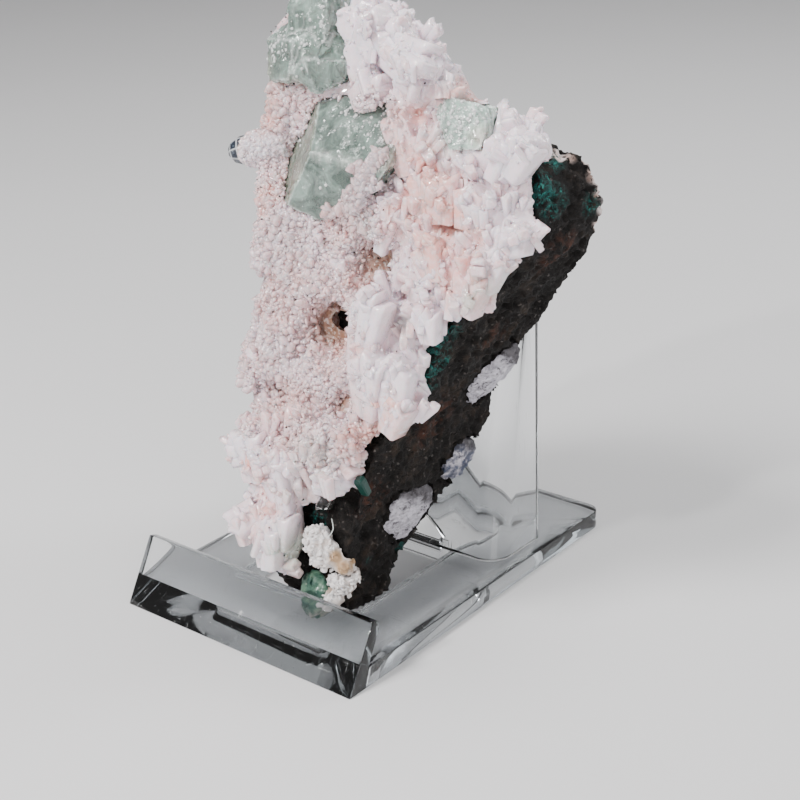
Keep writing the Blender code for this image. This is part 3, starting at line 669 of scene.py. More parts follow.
def prisms(name, spots, directions, radii, lengths, sides, point, material, random, flat, cut):
    """Many small crystals in one mesh: a prism each, with a pointed or cut end."""
    count = len(spots)
    side, other = turned_frame(directions, random.random(count) * 2 * np.pi)
    angles = (np.arange(sides) + 0.5) * 2 * np.pi / sides
    ring = (side[:, None] * np.cos(angles)[None, :, None]
            + flat * other[:, None] * np.sin(angles)[None, :, None])
    radii, lengths = radii[:, None, None], lengths[:, None, None]
    axis = directions[:, None]
    centre = spots[:, None]
    foot = centre + ring * radii * 0.9 - axis * lengths * 0.35
    shoulder = centre + ring * radii + axis * lengths * (1 - point)
    tip = centre + axis * lengths + side[:, None] * (random.random((count, 1, 1)) - 0.5) * radii
    if cut:
        slope = (random.random((count, 1, 1)) - 0.5) * 0.7
        tip = tip + ring * radii * cut + axis * (ring * side[:, None]).sum(
            axis=2, keepdims=True) * radii * slope
    points = np.concatenate([foot, shoulder, tip], axis=1)
    per = points.shape[1]
    pattern = []
    for i in range(sides):
        j = (i + 1) % sides
        pattern += [(i, j, sides + j), (i, sides + j, sides + i)]
        if cut:
            pattern += [(sides + i, sides + j, 2 * sides + j),
                        (sides + i, 2 * sides + j, 2 * sides + i)]
        else:
            pattern.append((sides + i, sides + j, 2 * sides))
    if cut:
        pattern += [(2 * sides, 2 * sides + i, 2 * sides + i + 1) for i in range(1, sides - 1)]
    pattern = np.array(pattern)
    triangles = (pattern[None] + (np.arange(count) * per)[:, None, None]).reshape(-1, 3)
    return from_triangles(name, points.reshape(-1, 3), triangles, material)


def solid_trees(*nodes):
    """Search trees of solids, in millimetres off the easel's corner."""
    trees = []
    for node in nodes:
        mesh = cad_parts[node].data
        spots = in_mm(points_of(mesh))
        trees.append(BVHTree.FromPolygons(spots.tolist(), [tuple(p.vertices) for p in mesh.polygons]))
    return trees


def clear_of(spots, trees, gap):
    """Which places keep a distance from some solids and lie outside them."""
    kept = np.ones(len(spots), bool)
    for index, spot in enumerate(spots):
        for tree in trees:
            near, normal, _, distance = tree.find_nearest(spot, 12)
            if near is not None and (distance < gap or (Vector(spot) - near).dot(normal) < 0):
                kept[index] = False
                break
    return kept


def unit(directions):
    """Directions at a length of one."""
    return directions / np.linalg.norm(directions, axis=1, keepdims=True)


def strewn(name, item, count, seed, keep, slot, material, sizes, lengths, sides, point,
           scatter=0.0, upright=(1.0, 0.0), lift=0.0, flat=1.0, cut=0.0, trees=(), gap=0.0):
    """Small crystals strewn on an object where keep says.

    sizes holds the least radius, what is added at most and its power. lengths holds the
    least length for the radius and what is added at most. upright holds how far a crystal
    follows the ground and how far the crystal face's own up.
    """
    spots, normals, random = sampled(item, count, seed, keep)
    if trees:
        kept = clear_of(spots, trees, gap)
        spots, normals = spots[kept], normals[kept]
    directions = normals
    if scatter:
        follow, rise = upright
        directions = unit(normals * follow + np.array(FACE_UP) * rise
                          + random.normal(0, scatter, spots.shape))
    least, more, power = sizes
    size = least + more * random.random(len(spots)) ** power
    least, more = lengths
    length = size * (least + (more * random.random(len(spots)) if more else 0))
    made = prisms(name, spots + normals * lift, directions, size, length, sides, point,
                  material, random, flat, cut)
    claim(made, slot)
    return made.data


# Materials

def darker(share, colour):
    """A colour scaled by a share."""
    return tuple(share * c for c in colour)


def clear_plastic(settings):
    """Clear moulded plastic with fine scratches, dust and a slightly wavy skin."""
    r = Recipe("clear_plastic")
    waves = r.noise(0.022, 2, 0.4)
    fine = r.noise(0.0016, 3, 0.6)
    where = r.place((1, 0.03, 0.03), (0.3, 0.4, 0.5))
    other = r.place((0.03, 1, 0.03), (0.2, 0.1, 1.0))
    lines = r.noise(0.00022, 1, 0.5, where=where).step(0.70, 0.76)
    crossing = r.noise(0.00026, 1, 0.5, where=other).step(0.71, 0.77)
    patch = r.noise(0.011, 2, 0.6).step(0.50, 0.66)
    scratch = ((lines + crossing) * patch).clamped()
    dust = r.cells(0.0022).step(0.075, 0.045) * r.noise(0.02, 2).step(0.42, 0.62)
    normal = r.bump(waves, 0.05, 0.0008)
    normal = r.bump(scratch, 0.35, 0.00006, normal)
    normal = r.bump(fine, 0.02, 0.0001, normal)
    glass = r.surface(Base_Color=tuple(settings.tint), Roughness=0.025 + 0.28 * scratch,
                      IOR=settings.index, Transmission_Weight=1.0, Normal=normal)
    grime = r.surface(Base_Color=(0.82, 0.82, 0.80), Roughness=0.6)
    return r.finish(r.blend((0.20 * scratch + 0.75 * dust).clamped(), glass, grime),
                    r.absorption((0.62, 0.72, 0.77), 11.0))


def rock_material(settings):
    """Basalt: dark wrinkled rock with rust, celadonite films, pale rind and glints, with painted
    shade in its hollows and pits and a painted highlight on the glints.
    """
    r = Recipe("basalt_surface")
    rock, film_colour = tuple(settings.rock), tuple(settings.teal)
    grain = r.noise(0.0011, 5, 0.68)
    patch = r.noise(0.007, 4, 0.6)
    rust = (r.mask("rust") * r.noise(0.003, 4, 0.6).step(0.44, 0.66)).clamped()
    film = r.noise(0.0022, 4, 0.7, 0.9).step(0.45, 0.53)
    teal = (r.mask("teal") * film).clamped()
    film_colour = r.layers(
        darker(0.35, film_colour),
        (r.noise(0.0012, 3).step(0.38, 0.62), film_colour),
        (0.75 * r.noise(0.0012, 3, 0.6, 1.5).step(0.56, 0.64), (0.040, 0.36, 0.31)))
    rind = (2.2 * r.mask("rind") * r.noise(0.002, 3, 0.6).step(0.36, 0.48)).clamped()
    pits = r.cells(0.0016).step(0.30, 0.12) * r.noise(0.008, 2).step(0.46, 0.6)
    sparkle = r.sparks(0.0006).step(0.975, 0.985)
    colour = r.layers(
        darker(0.40, rock),
        (grain.step(0.40, 0.68), rock),
        (patch.step(0.52, 0.74), (0.040, 0.027, 0.019)),
        (rust, (0.085, 0.030, 0.017)),
        (0.5 * r.noise(0.0005, 2, 0.6).step(0.70, 0.76), (0.13, 0.10, 0.085)),
        # painted shade: the rock's deep hollows are darkened almost to black
        (0.85 * r.mask("shaded_hollow"), (0.003, 0.0025, 0.002)),
        (teal, film_colour),
        (rind, r.mix(patch.step(0.4, 0.6), (0.80, 0.76, 0.76), (0.72, 0.50, 0.42))),
        # painted shade: the small pits are darkened inside
        (0.7 * pits, (0.004, 0.003, 0.003)),
        # painted highlight: glint cells are lifted to a pale colour; their lower roughness adds real
        # gloss
        (0.4 * sparkle, (0.16, 0.14, 0.13)))
    height = grain + 0.5 * r.noise(0.0004, 2) - 0.8 * pits + 0.4 * r.noise(0.0026, 4)
    return r.finish(r.surface(
        Base_Color=colour, Roughness=0.74 - 0.25 * teal - 0.50 * sparkle - 0.20 * rind,
        Specular_IOR_Level=0.24, Normal=r.bump(height, 0.9, 0.0007)))


def crust_material(settings, name, gloss, veil=0.0):
    """Pearly stilbite and sugary crystals with peach and white places, painted shade in hollows and
    in random patches, and painted glints.
    """
    r = Recipe(name)
    cream, white, peach = tuple(settings.cream), tuple(settings.white), tuple(settings.peach)
    between = tuple(0.5 * (a + b) for a, b in zip(cream, white))
    small = r.noise(0.0016, 4, 0.6)
    blush = (r.mask("peach") * (0.35 + r.noise(0.0042, 3, 0.6).step(0.36, 0.62))).clamped()
    shade = r.mask("deep").clamped()
    # painted shade: random darker patches that give the crust contrast, weaker on white places
    depth = r.noise(0.0028, 4, 0.65).step(0.50, 0.66) * (1 - 0.6 * r.mask("white"))
    stain = (r.noise(0.0032, 3, 0.7).step(0.66, 0.78) * r.noise(0.02, 2).step(0.45, 0.65)).clamped()
    spark = r.sparks(0.00062)
    glint = spark.step(0.80, 0.84)
    colour = r.layers(
        cream,
        (r.noise(0.010, 4, 0.55).step(0.38, 0.66), between),
        ((1.1 * r.mask("white")).clamped(), white),
        (0.80 * blush, peach),
        (0.25 * small.step(0.52, 0.75), (0.92, 0.84, 0.80)),
        (0.8 * r.mask("olive"), (0.44, 0.50, 0.41)),
        (0.75 * r.mask("contact"), (0.36, 0.19, 0.10)),
        # painted shade: the hollows darken to brown, more the further back they lie
        (0.85 * shade, (0.27, 0.145, 0.085)),
        (0.50 * depth, (0.55, 0.335, 0.315)),
        (0.40 * stain, (0.42, 0.23, 0.12)),
        # painted highlight: glint cells are lifted towards white; their lower roughness adds real
        # gloss
        (0.35 * glint, (0.97, 0.95, 0.94)))
    line = r.noise(0.0005, 2, 0.6, where=r.place((1, 1, 0.12), (0.25, 0.1, 0)))
    grain = r.noise(0.0006, 3, 0.6)
    normal = r.bump(0.5 * grain + 1.1 * line + 0.4 * spark, 0.40, 0.00030)
    body = r.surface(
        Base_Color=colour, Roughness=gloss + 0.22 * small - 0.7 * gloss * glint, IOR=STILBITE_INDEX,
        Subsurface_Weight=0.40, Subsurface_Radius=(1.0, 0.55, 0.42), Subsurface_Scale=0.0012,
        Coat_Weight=0.85, Coat_Roughness=0.05, Normal=normal)
    if not veil:
        return r.finish(body)
    clear = r.surface(Base_Color=(0.97, 0.92, 0.905), Roughness=0.05, IOR=STILBITE_INDEX,
                      Transmission_Weight=1.0, Normal=normal)
    share = veil * (0.45 + 0.55 * small.step(0.35, 0.60)) * (1 - 0.7 * shade)
    return r.finish(r.blend(share.clamped(), body, clear))


def green_material(settings, name, milk, tone, streak):
    """Apophyllite: pale green, part clear and part milky, with veils and frosted patches."""
    r = Recipe(name)
    green = darker(tone, settings.green)
    inner = r.noise(0.0062, 5, 0.66, 0.9)
    streaks = r.noise(0.0010, 3, 0.6, where=r.place((1, 1, 0.10), streak))
    frost = (r.noise(0.0046, 4, 0.65).step(0.54, 0.70)
             * r.noise(0.0008, 3, 0.6).step(0.42, 0.62)).clamped()
    white_edge = r.mask("edge").clamped()
    side = r.mask("side").clamped()
    lines = r.noise(0.0007, 2, 0.6, where=r.place((1, 1, 0.05), (0.0, 0.5, 0.2))).step(0.45, 0.62)
    fan = r.noise(0.0012, 3, 0.6, where=r.place((1, 1, 0.12), (0, 0.5, 0))).step(0.42, 0.60)
    colour = r.layers(
        darker(0.70, green),
        (inner.step(0.34, 0.66), green),
        (0.30 * streaks.step(0.50, 0.70), (0.70, 0.78, 0.73)),
        (0.55 * frost, (0.82, 0.86, 0.84)),
        (0.72 * white_edge, (0.86, 0.88, 0.87)),
        (0.50 * r.mask("warm").clamped(), (0.66, 0.56, 0.47)),
        (r.mask("pale") * (0.35 + 0.55 * fan), (0.78, 0.85, 0.80)),
        # painted shade: faces turned towards the darker direction get a dark olive colour
        (0.75 * side, r.mix(lines, (0.16, 0.175, 0.12), (0.36, 0.40, 0.33))))
    height = 0.5 * streaks + 0.3 * r.noise(0.0018, 3) + 0.6 * frost + 0.5 * r.noise(0.0060, 2)
    normal = r.bump(height, 0.34, 0.0004)
    rough = 0.06 + 0.34 * frost + 0.22 * white_edge + 0.12 * streaks
    clear = r.surface(Base_Color=colour, Roughness=rough, IOR=settings.index,
                      Transmission_Weight=0.95, Normal=normal)
    milky = r.surface(Base_Color=colour, Roughness=rough + 0.06, IOR=settings.index,
                      Subsurface_Weight=0.5, Subsurface_Radius=(0.7, 1.0, 0.85),
                      Subsurface_Scale=0.0025, Coat_Weight=0.5, Coat_Roughness=0.08,
                      Normal=normal)
    veils = (0.45 * milk + milk * inner.step(0.36, 0.64) + 0.5 * frost + 0.5 * white_edge
             + 0.35 * side).clamped()
    return r.finish(r.blend(veils, clear, milky), r.absorption((0.58, 0.80, 0.68), 26.0))


def veil_material(name):
    """A milky crack inside a crystal, part see-through."""
    r = Recipe(name)
    cloudy = r.noise(0.0015, 4, 0.7).step(0.35, 0.70)
    pale = r.surface(Base_Color=r.mix(cloudy, (0.62, 0.72, 0.67), (0.90, 0.93, 0.92)),
                     Roughness=0.22, IOR=1.4)
    nothing = r.node("ShaderNodeBsdfTransparent", {}, {"Color": (0.97, 0.99, 0.98)})
    return r.finish(r.blend(0.12 + 0.42 * cloudy, nothing, pale))


def dark_glass(name):
    """The rod's clear crystal: dark glassy facets that whiten towards the rock."""
    r = Recipe(name)
    inward = r.along("X").step(-0.0366, -0.0356)
    streak = r.noise(0.0014, 4, 0.7).step(0.56, 0.68)
    tint = r.layers((0.012, 0.018, 0.032), (streak, (0.20, 0.25, 0.31)),
                    (0.85 * r.mask("edge"), (0.80, 0.82, 0.84)), (inward, (0.86, 0.72, 0.65)))
    clear = r.surface(Base_Color=(0.82, 0.86, 0.90), Roughness=0.04, IOR=CRYSTAL_INDEX,
                      Transmission_Weight=1.0)
    dark = r.surface(Base_Color=tint, Roughness=0.05 + 0.3 * inward, Specular_IOR_Level=0.4)
    return r.finish(r.blend((0.86 - 0.3 * streak + 0.3 * inward).clamped(), clear, dark))


def glass_material(name, colour, body, share):
    """A clear crystal with a faintly uneven face and a share of cloudy body."""
    r = Recipe(name)
    wave = r.noise(0.0030, 3, 0.5)
    haze = r.noise(0.0016, 3, 0.6).step(0.56, 0.74)
    clear = r.surface(Base_Color=colour, Roughness=0.08 + 0.10 * haze, IOR=CRYSTAL_INDEX,
                      Transmission_Weight=1.0, Normal=r.bump(wave, 0.12, 0.0004))
    cloudy = r.surface(Base_Color=body, Roughness=0.32, Specular_IOR_Level=0.3)
    return r.finish(r.blend((share + 0.28 * haze).clamped(), clear, cloudy),
                    r.absorption(colour, 40.0))


def fill_material(name, colour, turn, blue):
    """Fibrous mineral filling with dark seams."""
    r = Recipe(name)
    fibre = r.noise(0.0009, 4, 0.65, 0.4, where=r.place((1, 0.22, 1), turn))
    blotch = r.noise(0.0030, 4, 0.6)
    seam = r.noise(0.0022, 3, 0.7, 1.2).step(0.575, 0.63)
    tint = r.layers(
        darker(0.42, colour),
        (fibre.step(0.35, 0.65), colour),
        (0.6 * blotch.step(0.52, 0.70), (0.78, 0.75, 0.82)),
        (0.85 * seam, (0.055, 0.045, 0.050)),
        (blue * blotch.step(0.62, 0.42), (0.020, 0.036, 0.085)),
        (0.9 * r.mask("rim").clamped(), (0.035, 0.030, 0.034)))
    return r.finish(r.surface(
        Base_Color=tint, Roughness=0.55 - 0.2 * fibre, Specular_IOR_Level=0.5,
        Normal=r.bump(fibre + 0.6 * blotch - 0.8 * seam, 0.7, 0.0006)))


def knob_material(name, colour, side_colour):
    """White bladed knob whose underside and right side are darkened with painted shade, with real tan
    stains in places.
    """
    r = Recipe(name)
    fine = r.noise(0.0008, 4, 0.6)
    blotch = r.noise(0.0026, 3, 0.6)
    tint = r.layers(
        darker(0.80, colour),
        (fine.step(0.36, 0.66), colour),
        (0.35 * blotch.step(0.55, 0.70), (0.74, 0.56, 0.46)),
        # painted shade on the underside and right side, together with real tan stains
        (r.mask("side").clamped(), side_colour),
        (0.8 * r.mask("rim").clamped(), (0.16, 0.09, 0.05)))
    return r.finish(r.surface(
        Base_Color=tint, Roughness=0.38 + 0.2 * blotch, Subsurface_Weight=0.2,
        Subsurface_Radius=(1, 0.8, 0.7), Subsurface_Scale=0.001, Coat_Weight=0.2,
        Coat_Roughness=0.2, Normal=r.bump(fine + blotch, 0.4, 0.0004)))


def green_knob_material(name):
    """Mottled green glass, paler below."""
    r = Recipe(name)
    blotch = r.noise(0.0022, 4, 0.6)
    low = r.along("Z").step(0.0125, 0.0105)
    tint = r.layers(
        (0.020, 0.085, 0.070),
        (blotch.step(0.36, 0.64), (0.13, 0.25, 0.17)),
        (0.6 * r.noise(0.0012, 3).step(0.60, 0.72), (0.50, 0.56, 0.46)),
        (0.7 * low * blotch.step(0.40, 0.55), (0.62, 0.55, 0.50)))
    clear = r.surface(Base_Color=tint, Roughness=0.10, IOR=CRYSTAL_INDEX, Transmission_Weight=0.75)
    dull = r.surface(Base_Color=tint, Roughness=0.35, Coat_Weight=0.6, Coat_Roughness=0.08,
                     Normal=r.bump(blotch, 0.3, 0.0005))
    return r.finish(r.blend((0.35 + 0.5 * blotch).clamped(), clear, dull))


def plain_material(name, colour, rough):
    """One faintly mottled colour."""
    r = Recipe(name)
    mottle = r.noise(0.0008, 3, 0.6)
    tint = r.mix(mottle.step(0.3, 0.7), darker(0.6, colour), colour)
    return r.finish(r.surface(Base_Color=tint, Roughness=rough,
                              Normal=r.bump(mottle, 0.2, 0.0002)))


# Pieces

class SPECIMEN_OT_easel(bpy.types.Operator):
    """Clear easel with rounded moulded edges and a gate mark on its lip."""

    bl_idname = "specimen.easel"
    bl_label = "Clear easel"

    def execute(self, context):
        settings = context.scene.specimen_easel
        plastic = clear_plastic(settings)
        for node, name in (("stand_base", "easel_base"), ("back_support", "easel_support")):
            piece = solid_copy(node, name)
            bm = bmesh.new()
            bm.from_mesh(piece.data)
            bmesh.ops.dissolve_limit(bm, angle_limit=math.radians(0.6), verts=bm.verts,
                                     edges=bm.edges)
            edges = [edge for edge in bm.edges if len(edge.link_faces) == 2
                     and edge.calc_face_angle() > math.radians(28)]
            bmesh.ops.bevel(bm, geom=edges, offset=settings.edge_round, segments=3,
                            profile=0.5, affect="EDGES", clamp_overlap=True)
            bmesh.ops.triangulate(bm, faces=[f for f in bm.faces if len(f.verts) > 4])
            bm.to_mesh(piece.data)
            bm.free()
            piece.data.materials.append(plastic)
            piece.data.shade_smooth()
            piece.data.set_sharp_from_angle(angle=math.radians(24))
            claim(piece, "stand_plastic", node)
        claim(self.gate_mark(), "stand_plastic")
        return {"FINISHED"}

    def gate_mark(self):
        """The small frayed mark that the mould's inlet left in the lip's middle."""
        rays = 9
        random = np.random.default_rng(5)
        lean = math.radians(30)
        out = Vector((0, -math.cos(lean), math.sin(lean)))
        up = Vector((0, math.sin(lean), math.cos(lean)))
        right = Vector((1, 0, 0))
        middle = Vector((43.5, 9.2 * math.tan(lean), 9.2)) + out * 0.02
        points, faces = [], []
        for ray in range(rays):
            angle = ray * 2 * math.pi / rays + random.random() * 0.5
            length = 0.5 + 0.9 * random.random()
            along = right * math.cos(angle) + up * math.sin(angle)
            wide = right * -math.sin(angle) + up * math.cos(angle)
            start = len(points)
            for reach, width, lift in ((0.1, 0.16, 0.16), (0.6, 0.10, 0.12), (1.0, 0.02, 0.02)):
                spot = middle + along * length * reach
                points += [spot - wide * width, spot + out * lift, spot + wide * width]
            for k in (0, 3):
                for i in (0, 1):
                    faces.append((start + k + i, start + k + i + 1, start + k + i + 4,
                                  start + k + i + 3))
        return new_object("gate_mark", points, faces,
                          plain_material("moulding_mark", (0.85, 0.86, 0.87), 0.4))


class SPECIMEN_OT_basalt(bpy.types.Operator):
    """Vesicular basalt with wrinkles, pits and mineral films."""

    bl_idname = "specimen.basalt"
    bl_label = "Basalt"

    def execute(self, context):
        settings = context.scene.specimen_basalt
        piece, spots, normals = even_copy("basalt", "basalt_rock", settings.grain)
        bent = spots + 0.9 * wander(spots, 2.4, 12)
        wrinkle = (1.00 * ridges(bent, 2.9, 3) + 0.55 * ridges(bent, 1.7, 6)
                   + 0.30 * facets(spots, 3.2, 7) - 1.05)
        swell = 0.50 * clouds(spots, 7.0, 2, 4)
        depth = np.minimum(wrinkle + swell - 0.35 - self.pits(spots), 0.25)
        pushed_out(piece, normals, depth)
        ragged = 1 + 0.7 * cloud(spots, 2.6, 21)
        for name, zones in (("teal", TEAL_SPOTS), ("rust", RUST_SPOTS), ("rind", RIND_SPOTS)):
            carry(piece.data, name, np.clip(near_spots(spots, zones) * ragged, 0, 1))
        # painted shade in the deepest places of the relief, taken from how far each point was pushed
        # in
        carry(piece.data, "shaded_hollow", np.clip((-0.75 - depth) * 1.2, 0, 1))
        piece.data.materials.append(rock_material(settings))
        claim(piece, "basalt_rock", "basalt")
        return {"FINISHED"}

    def pits(self, spots, count=900, cell=4.0):
        """How deep the small gas bubbles cut into the rock, in millimetres."""
        random = np.random.default_rng(11)
        seats = spots[random.choice(len(spots), count, replace=False)]
        sizes = 0.45 + 1.5 * random.random(count) ** 3
        reached = {}
        for index, seat in enumerate(seats):
            low = np.floor((seat - 2) / cell).astype(int)
            high = np.floor((seat + 2) / cell).astype(int)
            for shift in np.ndindex(*(high - low + 1)):
                reached.setdefault(tuple(low + shift), []).append(index)
        pits = np.zeros(len(spots))
        for index, spot in enumerate(spots):
            for seat in reached.get(tuple(np.floor(spot / cell).astype(int)), ()):
                away = np.linalg.norm(spot - seats[seat]) / sizes[seat]
                if away < 1:
                    pits[index] = max(pits[index], sizes[seat] * 0.9 * (1 - away * away))
        return pits


def paint_crust(mesh, extra_white=0.0, tone=None):
    """Give a crust piece its peach, white and grey-green places, and painted shade in its hollows."""
    spots = in_mm(points_of(mesh))
    noise = 0.30 * clouds(spots, 5.0, 2, 31)
    depth = spots[:, 1] - face_y(spots[:, 0], spots[:, 2])
    # painted shade for the hollows, stronger further back
    deep = near_face_spots(spots, HOLLOWS) * np.clip((depth + 2.0) / 4.5, 0, 1)
    white = near_face_spots(spots, WHITE_SPOTS) + 0.45 * bladed(spots) + noise + extra_white
    peach = near_face_spots(spots, PEACH_SPOTS) * (1 + 1.5 * noise)
    if tone is not None:
        white = np.where(tone == 0, white + 0.5, white - 0.2 * (tone == 1))
        peach = np.where(tone == 1, peach + 0.25, peach * 0.8)
    carry(mesh, "deep", deep)
    carry(mesh, "white", np.clip(white, 0, 1) * (1 - 0.8 * deep))
    carry(mesh, "peach", np.clip(peach, 0, 1))
    carry(mesh, "olive", np.clip(near_face_spots(spots, OLIVE_SPOTS) * (1 + noise), 0, 1))


def upper_left(spots):
    """The rim beside the upper green crystal, where the crust stays thin and bare."""
    return np.clip((spots[:, 2] - 152) / 2, 0, 1) * np.clip((47 - spots[:, 0]) / 2, 0, 1)


def bladed(spots):
    """Where the crust is made of smooth blades (1) and where of fine sugar (0)."""
    shift = 4 * cloud(spots, 12.0, 15)
    x, z = spots[:, 0] + shift, spots[:, 2] + shift
    right = np.clip((x - 70) / 9, 0, 1)
    top = np.clip((z - 150) / 5, 0, 1) * np.clip((x - 46) / 6, 0, 1)
    bottom = np.clip((60 - z) / 7, 0, 1)
    return np.maximum(np.maximum(right, top), bottom)


def front_weight(spots, normals):
    """How much of the fine growth a place carries."""
    return np.clip(facing(normals) + 0.35, 0, 1) * (spots[:, 0] < 119)


def lath_shape(foot, along, wide, out, length, width, thick, tip, skew):
    """One flat lath: eight-sided, with bevelled corners and a slanting chisel end."""
    bevel = 0.16 * min(width, thick)
    x, y = width / 2, thick / 2
    corners = ((x, -y + bevel), (x, y - bevel), (x - bevel, y), (bevel - x, y),
               (-x, y - bevel), (-x, bevel - y), (bevel - x, -y), (x - bevel, -y))
    stations = ((-0.15, 0.86, 0.86, 0), (1 - tip, 1.0, 1.0, 0),
                (1.0 - 0.35 * tip, 0.84, 0.92, 0.5), (1.0, 0.52, 0.60, 1.0))
    points = []
    for reach, spread, fat, shift in stations:
        for px, py in corners:
            slope = skew * px * shift * 0.6
            points.append(foot + along * (length * reach + slope)
                          + wide * (px * spread + skew * width * 0.18 * shift) + out * py * fat)
    triangles = []
    for row in range(3):
        for k in range(8):
            a, b = row * 8 + k, row * 8 + (k + 1) % 8
            triangles += [(a, b, b + 8), (a, b + 8, a + 8)]
    triangles += [(24, 24 + k, 25 + k) for k in range(1, 7)]
    return points, triangles


def hides(spot, trees):
    """Whether a place lies between the camera and one of some solids, or inside it."""
    away = (spot - Vector(CAMERA_PLACE)).normalized()
    return any(tree.ray_cast(spot, away, 14)[0] is not None for tree in trees)


def laths(name, sheaves, material, random, breadth, trees):
    """Sheaves of laths in one mesh: foot, along, wide, out, length, width, thickness, tone."""
    points, triangles, tones = [], [], []
    for foot, along, wide, out, length, width, thick, tone in sheaves:
        count = max(2, min(6, round(width / breadth)))
        for index in range(count):
            share = (index + 0.5) / count - 0.5
            fan = -share * 0.42 + random.normal(0, 0.03)
            turn = Matrix.Rotation(fan, 3, out) @ Matrix.Rotation(random.normal(0, 0.05), 3, wide)
            own_wide = turn @ wide
            start = foot + wide * (share * width * 0.62) + out * random.normal(0, 0.35)
            size = length * (1 - 0.20 * abs(share) * 2 - 0.12 * random.random())
            if hides(start + turn @ along * size * 0.7, trees):
                continue
            shape, faces = lath_shape(
                start, turn @ along, own_wide, out, size,
                width / count * (1.15 + 0.3 * random.random()),
                thick * (0.72 + 0.28 * random.random()), 0.08 + 0.10 * random.random(),
                random.choice((-1, 1)) * (0.3 + 0.7 * random.random()))
            triangles.append(np.array(faces) + len(points))
            points += shape
            tones += [tone] * len(shape)
    made = from_triangles(name, np.array(points), np.concatenate(triangles), material)
    paint_crust(made.data, tone=np.array(tones))
    claim(made, "stilbite_crust")


